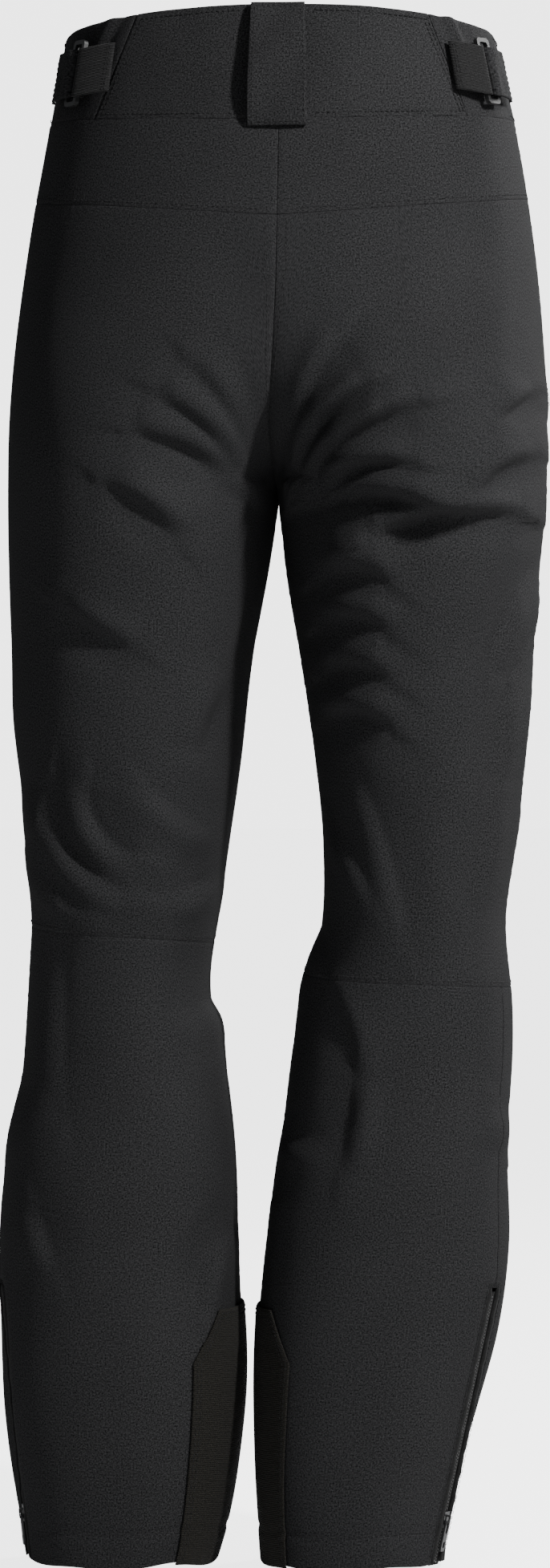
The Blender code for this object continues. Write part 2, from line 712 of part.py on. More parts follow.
def build_inside(side, word):
    """Pocket bag, snow gaiter and lining of one side."""
    panel(f"pocket_bag_{word}", side, *map(edge, BAG_REACH + BAG_LEVELS), 8, 8, LINING, BAG_INSET,
          BAG_THICKNESS)

    def under_facing(u):
        return waist_seam(side, u) - 0.004

    panel(f"lining_{word}", side, edge(EDGE - 1), edge(1 - EDGE), edge(LINING_HEM_Z), under_facing,
          16, 18, LINING, LINING_INSET, LINING_THICKNESS)

    def gaiter_point(s, t):
        return body_point(side, 2.0 * s - 1.0, mix(*GAITER_LEVELS, t), GAITER_INSET)

    gaiter = tube(f"gaiter_{word}", gaiter_point, 20, 6, LINING_THICKNESS, LINING)
    if side < 0:
        gaiter.data.flip_normals()


def build_fly_guard():
    """The wind guard behind the fly zip."""

    def point(s, t):
        z = mix(FLY_BOTTOM_Z - 0.012, FLY_TOP_Z + 0.004, t)
        v = 1.0 + mix(-FLY_GUARD_REACH, FLY_GUARD_REACH, s)
        return around_point(v - 2.0 if v > 1.0 else v, z, FLY_GUARD_INSET)

    sheet("fly_guard", point, 6, 6, LINING_THICKNESS, FABRIC, flip=True)


for side, word in SIDES.items():
    build_shell(side, word)
    build_scuff_guard(side, word)
    build_adjuster(side, word)
    build_inside(side, word)
build_waist()
build_closure()
build_loops()
build_zips()
build_fly_guard()
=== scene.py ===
"""Looks of the insulated ski pants: cloth, stitching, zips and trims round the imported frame."""

import math

import bpy
import numpy as np
from mathutils import Matrix, Vector

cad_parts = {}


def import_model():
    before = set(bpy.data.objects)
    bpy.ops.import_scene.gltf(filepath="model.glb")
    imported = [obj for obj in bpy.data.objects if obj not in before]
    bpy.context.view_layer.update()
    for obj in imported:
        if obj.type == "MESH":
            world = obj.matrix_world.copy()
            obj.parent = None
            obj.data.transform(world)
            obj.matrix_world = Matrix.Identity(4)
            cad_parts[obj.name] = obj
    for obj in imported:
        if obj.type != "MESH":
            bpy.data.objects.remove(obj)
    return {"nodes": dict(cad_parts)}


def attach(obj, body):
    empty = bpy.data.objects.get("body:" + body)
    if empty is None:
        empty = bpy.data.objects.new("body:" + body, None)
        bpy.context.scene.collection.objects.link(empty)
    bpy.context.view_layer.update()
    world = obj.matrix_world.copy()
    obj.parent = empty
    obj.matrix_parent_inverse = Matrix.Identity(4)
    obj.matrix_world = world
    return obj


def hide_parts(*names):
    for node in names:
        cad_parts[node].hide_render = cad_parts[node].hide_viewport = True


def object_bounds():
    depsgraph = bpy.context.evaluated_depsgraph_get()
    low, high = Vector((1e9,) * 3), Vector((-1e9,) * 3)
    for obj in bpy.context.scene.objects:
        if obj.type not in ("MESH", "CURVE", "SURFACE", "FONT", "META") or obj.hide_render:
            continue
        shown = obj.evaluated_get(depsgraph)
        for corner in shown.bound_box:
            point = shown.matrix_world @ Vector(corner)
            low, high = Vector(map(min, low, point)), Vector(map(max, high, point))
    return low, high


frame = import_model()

CAD_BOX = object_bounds()
ROOT = "trousers"
SIDES = {1: "left", -1: "right"}


def in_scene(name, data):
    """A new object that shows this data."""
    made = bpy.data.objects.new(name, data)
    bpy.context.scene.collection.objects.link(made)
    return made


# ---------------------------------------------------------------- camera

SENSOR_WIDTH = 36.0            # millimetres
CAMERA_DISTANCE = 3.6
CAMERA_YAW = math.radians(4.5)
FRAME_HEIGHT = 1.081           # height of the view at the pants
AIM = Vector((0.0033, 0.0, -0.5225))


def add_camera():
    """The photograph's view: level, from behind and a little from the wearer's right."""
    data = bpy.data.cameras.new("camera")
    data.sensor_width = SENSOR_WIDTH
    data.lens = SENSOR_WIDTH * CAMERA_DISTANCE / FRAME_HEIGHT
    camera = in_scene("camera", data)
    away = Vector((-math.sin(CAMERA_YAW), math.cos(CAMERA_YAW), 0.0))
    camera.location = AIM + away * CAMERA_DISTANCE
    camera.rotation_euler = (-away).to_track_quat("-Z", "Y").to_euler()
    bpy.context.scene.camera = camera


# ---------------------------------------------------------------- the shape of the body

CROTCH_Z = -0.320
HEM_Z = -1.058
SPREAD_HEIGHT = 0.140          # above the crotch, the two legs grow into one trunk over this height
SPREAD_POWER = 1.2
ROUNDNESS = 2.3                # exponent of the rounded cross-section; 2 is an ellipse
WAIST_SHIFT = -0.008           # the waist's middle lies this far to the wearer's right

# heights of the edges and seams
WAIST_TOP = {"back": 0.0, "side": -0.010, "front": -0.026}
WAIST_SEAM = {"back": -0.078, "side": -0.070, "front": -0.068}
YOKE_CENTRE_Z = -0.144
YOKE_SIDE_Z = -0.122
KNEE_SEAM = {1: (-0.632, -0.618), -1: (-0.652, -0.662)}    # at the inseam and on the outside
KNEE_ARCH = 0.040              # how far the seam rises over the front of the knee
HEM_ZIP_U = {1: 0.10, -1: 0.13}                            # place round the leg, as body() counts it

# (height, x) of the outer and inner edge of each leg, and (height, y) of its front and back
OUTER = {
    1: [(0.0, 0.145), (-0.065, 0.157), (-0.148, 0.171), (-0.258, 0.183), (-0.314, 0.185),
        (-0.424, 0.184), (-0.480, 0.183), (-0.535, 0.175), (-0.590, 0.169), (-0.646, 0.171),
        (-0.729, 0.179), (-0.784, 0.189), (-0.895, 0.192), (-0.950, 0.190), (-1.005, 0.183),
        (-1.062, 0.171)],
    -1: [(0.0, 0.146), (-0.065, 0.161), (-0.148, 0.175), (-0.258, 0.184), (-0.314, 0.185),
         (-0.369, 0.180), (-0.424, 0.172), (-0.535, 0.165), (-0.618, 0.155), (-0.673, 0.160),
         (-0.784, 0.157), (-0.839, 0.158), (-0.895, 0.151), (-0.950, 0.136), (-1.005, 0.119),
         (-1.062, 0.113)],
}
INNER = {
    1: [(-0.320, 0.0005), (-0.369, 0.007), (-0.424, 0.018), (-0.507, 0.028), (-0.590, 0.040),
        (-0.673, 0.048), (-0.701, 0.041), (-0.756, 0.033), (-0.867, 0.028), (-0.922, 0.025),
        (-0.977, 0.029), (-1.033, 0.039), (-1.062, 0.048)],
    -1: [(-0.320, 0.0005), (-0.369, 0.003), (-0.424, 0.012), (-0.507, 0.024), (-0.563, 0.030),
         (-0.618, 0.028), (-0.673, 0.013), (-0.756, 0.002), (-0.839, -0.009), (-0.895, -0.014),
         (-0.977, -0.014), (-1.033, -0.011), (-1.062, -0.009)],
}
FRONT = [(0.0, -0.100), (-0.080, -0.112), (-0.200, -0.122), (-0.320, -0.122), (-0.450, -0.115),
         (-0.600, -0.104), (-0.660, -0.100), (-0.800, -0.084), (-0.950, -0.076),
         (-1.062, -0.072)]
BACK = [(0.0, 0.104), (-0.080, 0.116), (-0.200, 0.142), (-0.280, 0.148), (-0.340, 0.136),
        (-0.450, 0.112), (-0.600, 0.088), (-0.660, 0.078), (-0.800, 0.084), (-0.950, 0.088),
        (-1.062, 0.082)]


def smooth_curve(stations):
    """Gives a function through the stations, given from the top down."""
    heights = np.array([z for z, _ in reversed(stations)])
    values = np.array([v for _, v in reversed(stations)])
    slopes = np.gradient(values, heights)

    def at(z):
        z = np.clip(z, heights[0], heights[-1])
        i = np.clip(np.searchsorted(heights, z) - 1, 0, len(heights) - 2)
        span = heights[i + 1] - heights[i]
        t = (z - heights[i]) / span
        start = (2 * t ** 3 - 3 * t ** 2 + 1) * values[i] + (t ** 3 - 2 * t ** 2 + t) * span * slopes[i]
        end = (3 * t ** 2 - 2 * t ** 3) * values[i + 1] + (t ** 3 - t ** 2) * span * slopes[i + 1]
        return start + end

    return at


OUTER_AT = {side: smooth_curve(OUTER[side]) for side in SIDES}
INNER_AT = {side: smooth_curve(INNER[side]) for side in SIDES}
FRONT_AT = smooth_curve(FRONT)
BACK_AT = smooth_curve(BACK)


def mix(a, b, t):
    """a at t = 0, b at t = 1, and evenly between them."""
    return a + (b - a) * t


def smooth(t):
    """An eased step from 0 to 1 as t goes from 0 to 1."""
    t = np.clip(t, 0.0, 1.0)
    return t * t * (3.0 - 2.0 * t)


def bell(t):
    """A round hump: 1 at 0, and close to 0 beyond 2 on both sides."""
    return np.exp(-t ** 2)


def signed_power(value, power):
    """A power that keeps the sign of the value."""
    return np.sign(value) * np.abs(value) ** power


def body(side, u, z, inset=0.0):
    """Points of the plain body on one side, for arrays of u and z.

    u is 0 on the outer side of the leg, 1 at the centre back or inseam, -1 at the centre front
    or inseam. Above the crotch the cross-section is cut at the middle plane.
    """
    u, z = np.broadcast_arrays(np.asarray(u, float), np.asarray(z, float))
    front, back = FRONT_AT(z), BACK_AT(z)
    centre_y = (front + back) / 2
    depth = (back - front) / 2 - inset
    rise = np.clip((z - CROTCH_Z) / SPREAD_HEIGHT, 0.0, 1.0)
    shift = WAIST_SHIFT * smooth(rise)
    above = z >= CROTCH_Z
    ratio = 1.0 - rise ** SPREAD_POWER
    outer = OUTER_AT[side](z) - side * shift
    width = np.where(above, outer / (1.0 + ratio), (outer - INNER_AT[side](z)) / 2)
    centre_x = np.where(above, ratio * width, outer - width)
    width = width - inset
    share = np.where(above, np.minimum(centre_x / width, 1.0), 1.0)
    reach = np.arccos(-signed_power(share, ROUNDNESS / 2))
    angle = u * reach
    power = 2.0 / ROUNDNESS
    x = shift + side * (centre_x + width * signed_power(np.cos(angle), power))
    y = centre_y + depth * signed_power(np.sin(angle), power)
    return np.stack([x, y, z], axis=-1)


def unit(v):
    """Vectors of the same direction and length 1."""
    return v / np.maximum(np.linalg.norm(v, axis=-1, keepdims=True), 1e-12)


def normal_of(point, side, u, z, step_u=0.012, step_z=0.003):
    """Outward normal of a surface given as point(u, z)."""
    across = point(u + step_u, z) - point(u - step_u, z)
    up = point(u, z + step_z) - point(u, z - step_z)
    return unit(np.cross(across, up)) * side


def knee_seam(side):
    """The seam at the knee, as a function z(u)."""
    inseam, outside = KNEE_SEAM[side]
    return lambda u: mix(outside, inseam, np.abs(u)) + KNEE_ARCH * np.sin(math.pi * np.minimum(u, 0)) ** 2


def ring_height(levels, v):
    """Height of a waist edge that has one level at the back, one at the sides, one in front."""
    v = np.abs(v)
    v = np.where(v > 1.0, 2.0 - v, v)
    first = 0.5 - 0.5 * np.cos(math.pi * np.minimum(v * 2, 1.0))
    second = 0.5 - 0.5 * np.cos(math.pi * np.clip(v * 2 - 1.0, 0.0, 1.0))
    return mix(mix(levels["back"], levels["side"], first), levels["front"], second)


def waist_seam(u):
    """Height of the seam under the waistband, at u round one side of the body."""
    return ring_height(WAIST_SEAM, (1.0 - u) / 2)


def yoke_seam(u):
    """Height of the seam under the back yoke."""
    return mix(YOKE_SIDE_Z, YOKE_CENTRE_Z, u)


# ---------------------------------------------------------------- folds of the cloth

# A fold is (line, height, width, hand). Its line holds (x, z) points seen from the back or front,
# and its roll is on the left of the line's way with hand 1, on the right with hand -1.

def line_from(start, end, t, aside):
    """Points at the shares t of the way from start to end, each moved aside to the left of it."""
    start = np.array(start)
    along = np.array(end) - start
    across = np.array([-along[1], along[0]]) / np.hypot(*along)
    return start + along * t + across * aside


def arc(start, end, bow=0.0, count=31):
    """A bowed line of points. A positive bow swells to the left of its way."""
    t = np.linspace(0.0, 1.0, count)[:, None]
    return line_from(start, end, t, bow * 4.0 * t * (1.0 - t))


def ray(apex, degrees, far, near, bow=0.0):
    """An arc that runs in towards an apex. The angle is counted from +X."""
    way = np.array([math.cos(math.radians(degrees)), math.sin(math.radians(degrees))])
    return arc(apex + way * far, apex + way * near, bow)


def ring(centre, radius, start_degrees, end_degrees, count=41):
    """Part of a circle."""
    turn = np.radians(np.linspace(start_degrees, end_degrees, count))
    return centre + radius * np.column_stack([np.cos(turn), np.sin(turn)])


def scallops(start, end, depth, number):
    """A line with a row of round lobes on the left of its way."""
    t = np.linspace(0.0, 1.0, 24 * number + 1)[:, None]
    lobe = np.abs(np.sin(math.pi * number * t)) ** 0.8
    return line_from(start, end, t, depth * lobe)


CROTCH = np.array([0.0, -0.335])
LEFT_KNEE = np.array([0.080, -0.530])
RIGHT_THIGH_X = -0.080


def seat_folds():
    """Creases that fan out of the crotch, stronger on the right seat."""
    for number in range(5):
        far = 0.120 - 0.020 * (number % 2)
        yield ray(CROTCH, 116 + 17 * number, far, 0.030, 0.006), 0.0115, 0.0080, 1
    for number in range(4):
        yield ray(CROTCH, 80 - 18 * number, 0.100, 0.025, -0.005), 0.0065, 0.0085, -1
    # under the right and left buttock
    yield arc((-0.165, -0.345), (-0.070, -0.360), 0.006), 0.0120, 0.0070, 1
    yield arc((0.100, -0.325), (0.060, -0.360), -0.003), 0.0055, 0.0090, -1
    # at the right side seam
    yield arc((-0.180, -0.305), (-0.135, -0.330), 0.002), 0.0060, 0.0065, 1
    yield arc((-0.180, -0.260), (-0.160, -0.280)), 0.0045, 0.0060, 1


def thigh_folds():
    """Short folds one under another inside the right thigh, and long ones at the sides."""
    for number in range(4):
        z = -0.385 - 0.032 * number
        yield arc((RIGHT_THIGH_X, z - 0.005), (-0.035, z), 0.006), 0.0065, 0.0088, 1
    yield arc((-0.180, -0.370), (-0.150, -0.445), 0.003), 0.0055, 0.0075, -1
    yield arc((-0.175, -0.410), (-0.150, -0.520), 0.004), 0.0050, 0.0070, -1
    yield arc((0.140, -0.405), (0.090, -0.435), 0.002), 0.0055, 0.0085, -1
    yield arc((0.025, -0.450), (0.045, -0.500), 0.002), 0.0045, 0.0090, 1


def knee_folds():
    """The slack behind both knees."""
    # the left knee bags, in rings round one middle
    for radius, height in ((0.066, 0.0070), (0.042, 0.0060)):
        yield ring(LEFT_KNEE, radius, 5, -75), height, 0.0085, 1
    yield ring(LEFT_KNEE, 0.068, 208, 262), 0.0060, 0.0085, -1
    yield arc((0.080, -0.525), (0.040, -0.555), 0.002), 0.0050, 0.0085, 1
    yield arc((0.150, -0.560), (0.125, -0.605), 0.006), 0.0045, 0.0085, 1
    # the right knee, in long lines
    yield arc((-0.060, -0.520), (-0.095, -0.630), -0.004), 0.0030, 0.0085, 1
    yield arc((-0.040, -0.545), (-0.070, -0.600), -0.002), 0.0030, 0.0070, 1
    yield arc((-0.150, -0.535), (-0.130, -0.605)), 0.0035, 0.0080, -1


def lower_leg_folds():
    """A few long, shallow folds under the knees."""
    yield arc((0.140, -0.625), (0.140, -0.745), 0.002), 0.0030, 0.0110, 1
    yield arc((0.040, -0.660), (0.030, -0.715)), 0.0030, 0.0090, -1
    yield arc((0.015, -0.815), (0.050, -0.880), 0.012), 0.0070, 0.0080, -1
    yield arc((0.160, -0.810), (0.145, -0.850)), 0.0035, 0.0080, 1
    yield arc((-0.030, -0.655), (-0.055, -0.720), -0.006), 0.0035, 0.0075, -1
    yield arc((-0.055, -0.720), (-0.045, -0.780)), 0.0035, 0.0100, -1
    yield arc((0.000, -0.765), (-0.035, -0.760)), 0.0025, 0.0090, 1
    yield arc((-0.155, -0.740), (-0.160, -0.775), -0.004), 0.0040, 0.0075, 1


def front_folds():
    """The same few folds on both legs, set a little apart in height so that they differ."""
    for side, drop in ((1, 0.0), (-1, 0.008)):
        for number in range(3):
            outer = 0.150 - 0.035 * number
            z = -0.290 - 0.025 * number - drop
            line = arc((side * outer, z), (side * 0.020, z - 0.010), side * 0.010)
            yield line, 0.0055 - 0.001 * number, 0.0082, side
        yield arc((side * 0.160, -0.400 - drop), (side * 0.095, -0.465)), 0.0035, 0.0090, side
        knee = arc((side * 0.050, -0.540 - drop), (side * 0.145, -0.550), side * -0.018)
        yield knee, 0.0045, 0.0090, -side
        shin = arc((side * 0.045, -0.670 - drop), (side * 0.110, -0.685), side * -0.008)
        yield shin, 0.0045, 0.0080, -side
        yield arc((side * 0.085, -0.750), (side * 0.085, -0.865 - drop), 0.005), 0.0030, 0.0110, side
        hem = arc((side * 0.030, -0.925 - drop), (side * 0.095, -0.955), side * -0.006)
        yield hem, 0.0035, 0.0080, -side


BACK_FOLDS = [*seat_folds(), *thigh_folds(), *knee_folds(), *lower_leg_folds()]
FRONT_FOLDS = list(front_folds())
# On one side of a ledge the cloth drops by its height, and climbs back further on.
LEDGES = [
    (scallops((RIGHT_THIGH_X, -0.225), (RIGHT_THIGH_X, -0.520), 0.036, 7), 0.0100, 0.0085, -1),
    (scallops((-0.058, -0.665), (-0.058, -0.870), 0.012, 4), 0.0020, 0.0130, -1),
]


def crease(d):
    """A roll beside the line, a sharp hollow on it and a shallow one beyond; d is in widths."""
    roll = bell((d - 1.25) / 1.15) + 0.35 * bell((d - 3.0) / 1.6)
    hollow = 0.85 * np.exp(-(np.abs(d) / 0.60) ** 1.5) + 0.60 * bell((d + 1.2) / 1.3)
    return roll - hollow


def ledge(d):
    """A low rim, a drop beyond it, and a slow way back."""
    rim = 0.25 * bell((d - 0.9) / 0.9)
    return rim - smooth(0.1 - d / 0.7) * (1.0 - smooth((-d - 2.0) / 6.0))


FOLD_REACH = 6                 # a fold is felt within this many of its widths


def fold_heights(folds, x, z, profile=crease):
    """Sum of the creases and rolls at the points (x, z). Each fold fades out at its ends."""
    total = np.zeros_like(x)
    for line, height, width, hand in folds:
        low = line.min(axis=0) - FOLD_REACH * width
        high = line.max(axis=0) + FOLD_REACH * width
        near = (x > low[0]) & (x < high[0]) & (z > low[1]) & (z < high[1])
        if not near.any():
            continue
        offset = np.stack([x[near], z[near]], axis=-1)[:, None, :] - line[None, :, :]
        distance = np.linalg.norm(offset, axis=-1)
        closest = distance.argmin(axis=1)
        heading = np.gradient(line, axis=0)[closest]
        to_point = offset[np.arange(len(closest)), closest]
        turn = heading[:, 0] * to_point[:, 1] - heading[:, 1] * to_point[:, 0]
        along = closest / (len(line) - 1)
        fade = np.sin(math.pi * mix(0.04, 0.96, along)) ** 0.7
        d = distance[np.arange(len(closest)), closest] * np.sign(turn) * hand / width
        total[near] += height * fade * profile(d)
    return total


def facing(out, way):
    """Share of the surface that looks to the back (way 1) or to the front (way -1)."""
    return smooth((way * out[..., 1] + 0.25) / 0.45)


def creases(point, out):
    """Height of all the creases at points with these outward directions."""
    x, z = point[..., 0], point[..., 2]
    back = facing(out, 1) * fold_heights(BACK_FOLDS, x, z)
    return back + facing(out, -1) * fold_heights(FRONT_FOLDS, x, z)


# ---------------------------------------------------------------- zips: where they run

def frame_from(origin, along, outward):
    """Local frame: Y along the given direction, Z outward, X across."""
    y = along.normalized()
    z = (outward - outward.dot(y) * y).normalized()
    return Matrix.Translation(origin) @ Matrix((y.cross(z), y, z)).transposed().to_4x4()


SINK = 0.0020                  # a zip lies this far under the plain body
HEM_ZIP_ENDS = (-1.054, -0.868)
POCKET_ENDS = ((-0.11, -0.258), (-0.27, -0.108))    # (u, z) of the lower and the upper end
FLY_ENDS = (-0.212, -0.080)


def zip_between(lower, upper, outward, side):
    """A zip's local frame and length, and the side that it is on."""
    place = frame_from(lower - outward * SINK, upper - lower, outward)
    return {"frame": place, "length": (upper - lower).length, "side": side}


def straight_zip(side, low, high):
    """A zip between two places (u, z) on one side of the body."""
    lower, upper = Vector(body(side, *low)), Vector(body(side, *high))
    u, z = (low[0] + high[0]) / 2, (low[1] + high[1]) / 2
    across = Vector(body(side, u + 0.03, z)) - Vector(body(side, u - 0.03, z))
    outward = across.cross(upper - lower).normalized()
    inside = Vector(body(side, u, z)) - Vector(body(side, u, z, 0.01))
    outward *= math.copysign(1.0, outward.dot(inside))
    return zip_between(lower, upper, outward, side)


def place_zips():
    """All five zips by name. The fly is on both sides of the middle, so its side is 0."""
    zips = {}
    for side, word in SIDES.items():
        u = HEM_ZIP_U[side]
        zips[f"hem_zip_{word}"] = straight_zip(side, (u, HEM_ZIP_ENDS[0]), (u, HEM_ZIP_ENDS[1]))
        zips[f"pocket_zip_{word}"] = straight_zip(side, *POCKET_ENDS)
    lower, upper = Vector(body(1, -1.0, FLY_ENDS[0])), Vector(body(1, -1.0, FLY_ENDS[1]))
    zips["fly_zip"] = zip_between(lower, upper, Vector((0, -1, 0)), 0)
    return zips


ZIPS = place_zips()
SLOT_HALF = 0.0056             # half the width of a zip's opening
LIP = 0.0016                   # the cloth beside a zip comes down to this height above its tapes
SETTLED_TO = 0.008             # up to this far from the zip's middle it lies there,
SETTLE_REACH = 0.026           # and beyond this it isn't moved


def local(points, place):
    """World points in a local frame."""
    inverse = np.array(place.inverted())
    return points @ inverse[:3, :3].T + inverse[:3, 3]


def world(points, place):
    """Points of a local frame in the world."""
    matrix = np.array(place)
    return points @ matrix[:3, :3].T + matrix[:3, 3]


def settle(points, zipper):
    """Brings the cloth beside a zip down to a lip just above its tapes."""
    spot = local(points, zipper["frame"])
    past = np.maximum(np.maximum(-spot[..., 1], spot[..., 1] - zipper["length"]), 0.0)
    distance = np.hypot(spot[..., 0], past)
    near = 1.0 - smooth((distance - SETTLED_TO) / (SETTLE_REACH - SETTLED_TO))
    near *= np.abs(spot[..., 2]) < 0.03
    spot = spot.copy()
    spot[..., 2] = mix(spot[..., 2], LIP, near)
    return world(spot, zipper["frame"])


# ---------------------------------------------------------------- the draped shell

WAVE_COUNT = 60
RNG = np.random.default_rng(11)
WAVES = [(RNG.uniform(0.022, 0.110), RNG.uniform(0, math.tau), RNG.uniform(0, math.tau))
         for _ in range(WAVE_COUNT)]
WAVE_SHARE = 0.016             # height of a wave as a share of its length


def undulation(point, side):
    """Gentle unevenness of hanging cloth, longer along the leg than round it."""
    x, y, z = point[..., 0], point[..., 1], point[..., 2]
    total = np.zeros_like(x)
    for length, heading, phase in WAVES:
        kx = math.cos(heading) * math.tau / length
        kz = 0.55 * math.sin(heading) * math.tau / length
        total += WAVE_SHARE * length * np.sin(kx * (x + 0.8 * y) + kz * z + phase * (1 + side))
    return total / math.sqrt(WAVE_COUNT)


SEED_SHARE = 0.7               # share of each crease that is there before the cloth settles
CREASE_SHARE = 0.8             # share that is pressed in afterwards
EASE_ROWS = 4                  # the step from seat to legs is eased over this many rows of the grid,
EASE_TOP = -0.100              # between these heights
EASE_BOTTOM = -0.430
GRID_COLUMNS = 131
GRID_ROWS = 196
GRID_TOP = -0.060
GRID_BOTTOM = HEM_Z - 0.004
GRID_MARGIN = 20               # columns added on both sides, so that a sample may pass the inseam
DRAPE_FRAMES = 26
DRAPE_RAMP = 10                # frames over which the cloth is brought up to its place
DRAPE_CAP = 0.016              # no point moves further than this in the simulation,
DRAPE_SINK = 0.005             # and beyond this depth most of its way inward is taken back
SINK_BACK = 0.8
DRIFT_REACH = 7                # motion slower than this many grid lines is taken out again
SOFT_HOLD = 0.28               # how firmly the free cloth is held to its shape
CLOTH = {"quality": 6, "mass": 0.12, "air_damping": 3.0, "tension_stiffness": 18.0,
         "compression_stiffness": 18.0, "shear_stiffness": 6.0, "bending_stiffness": 0.4,
         "vertex_group_mass": "held", "pin_stiffness": 0.35}
# where the cloth is longer than the way down: (height, reach, share of extra length)
SLACK = [(-0.335, 0.050, 0.10), (-0.430, 0.060, 0.05), (-0.590, 0.060, 0.11), (-0.720, 0.070, 0.05),
         (-0.960, 0.070, 0.05)]
BASE_SLACK = 0.030             # extra length everywhere
ROUND_SLACK = 0.0012           # extra distance from the leg's middle


def blurred(field, axis, reach):
    """The slow part of a field along one axis of its grid."""
    spread = reach * 3
    weights = np.exp(-0.5 * (np.arange(-spread, spread + 1) / reach) ** 2)
    edges = [(0, 0)] * field.ndim
    edges[axis] = (spread, spread)
    padded = np.pad(field, edges, mode="edge")
    count = field.shape[axis]
    return sum(w * padded.take(range(k, k + count), axis) for k, w in enumerate(weights / weights.sum()))


def eased_body(side, u, z):
    """The body on the whole grid, eased along its height where the seat turns into legs."""
    point = body(side, u, z)
    eased = blurred(point, 0, EASE_ROWS)
    share = smooth((EASE_TOP - z) / 0.03) * smooth((z - EASE_BOTTOM) / 0.03)
    at_seam = np.where(z > CROTCH_Z - 0.03, smooth((np.abs(u) - 0.90) / 0.10), 0.0)
    eased[..., 2] = point[..., 2]
    return mix(point, eased, (share * (1.0 - at_seam))[..., None])


def grid_normal(point, side):
    """Outward normals of a grid of points, rows from the top down."""
    across, up = np.gradient(point, axis=1), -np.gradient(point, axis=0)
    return unit(np.cross(across, up)) * side


def clear_of_inseam(u):
    """The folds fade out towards the inseam, so that the legs stay apart."""
    return 1.0 - 0.85 * smooth((np.abs(u) - 0.78) / 0.16)


def folded(side, u, z):
    """The body with its creases and rolls laid on it."""
    point = eased_body(side, u, z)
    out = grid_normal(point, side)
    lift = SEED_SHARE * creases(point, out)
    lift += facing(out, 1) * fold_heights(LEDGES, point[..., 0], point[..., 2], ledge)
    lift += undulation(point, side)
    lift *= smooth((WAIST_SEAM["back"] + 0.010 - point[..., 2]) / 0.05)
    return point + out * (lift * clear_of_inseam(u))[..., None]


def held(side, u, z):
    """How firmly the cloth is held: most at its seams to the waist and the other leg, and at the zips."""
    hold = np.full(np.broadcast(u, z).shape, SOFT_HOLD)
    waist = 1.0 - smooth((waist_seam(u) - 0.004 - z) / 0.030)
    centre = 1.0 - smooth((1.0 - np.abs(u)) / np.where(z > CROTCH_Z, 0.05, 0.14))
    centre *= mix(0.8, 1.0, smooth((z + 0.50) / 0.10))
    hem_zip = 1.0 - smooth((np.abs(u - HEM_ZIP_U[side]) - 0.03) / 0.06)
    hem_zip *= z < HEM_ZIP_ENDS[1] + 0.01
    (low_u, low_z), (high_u, high_z) = POCKET_ENDS
    line = mix(low_u, high_u, np.clip((z - low_z) / (high_z - low_z), 0, 1))
    pocket = 1.0 - smooth((np.abs(u - line) - 0.04) / 0.06)
    pocket *= (z < high_z + 0.01) & (z > low_z - 0.01)
    hem = 0.8 * (1.0 - smooth((z - HEM_Z) / 0.012))
    for firm in (waist, centre, hem_zip, pocket, hem):
        hold = np.maximum(hold, firm)
    return np.where(hold > 0.97, 1.0, hold * hold)


def slack_height(z):
    """Height on the slack cloth of what hangs at z."""
    steps = np.linspace(GRID_TOP, GRID_BOTTOM, 400)
    rate = np.full_like(steps, 1.0 + BASE_SLACK)
    for centre, reach, share in SLACK:
        rate += share * bell((steps - centre) / reach)
    run = np.concatenate([[0], np.cumsum((rate[1:] + rate[:-1]) / 2 * (steps[0] - steps[1]))])
    return GRID_TOP - np.interp(GRID_TOP - z, GRID_TOP - steps, run)


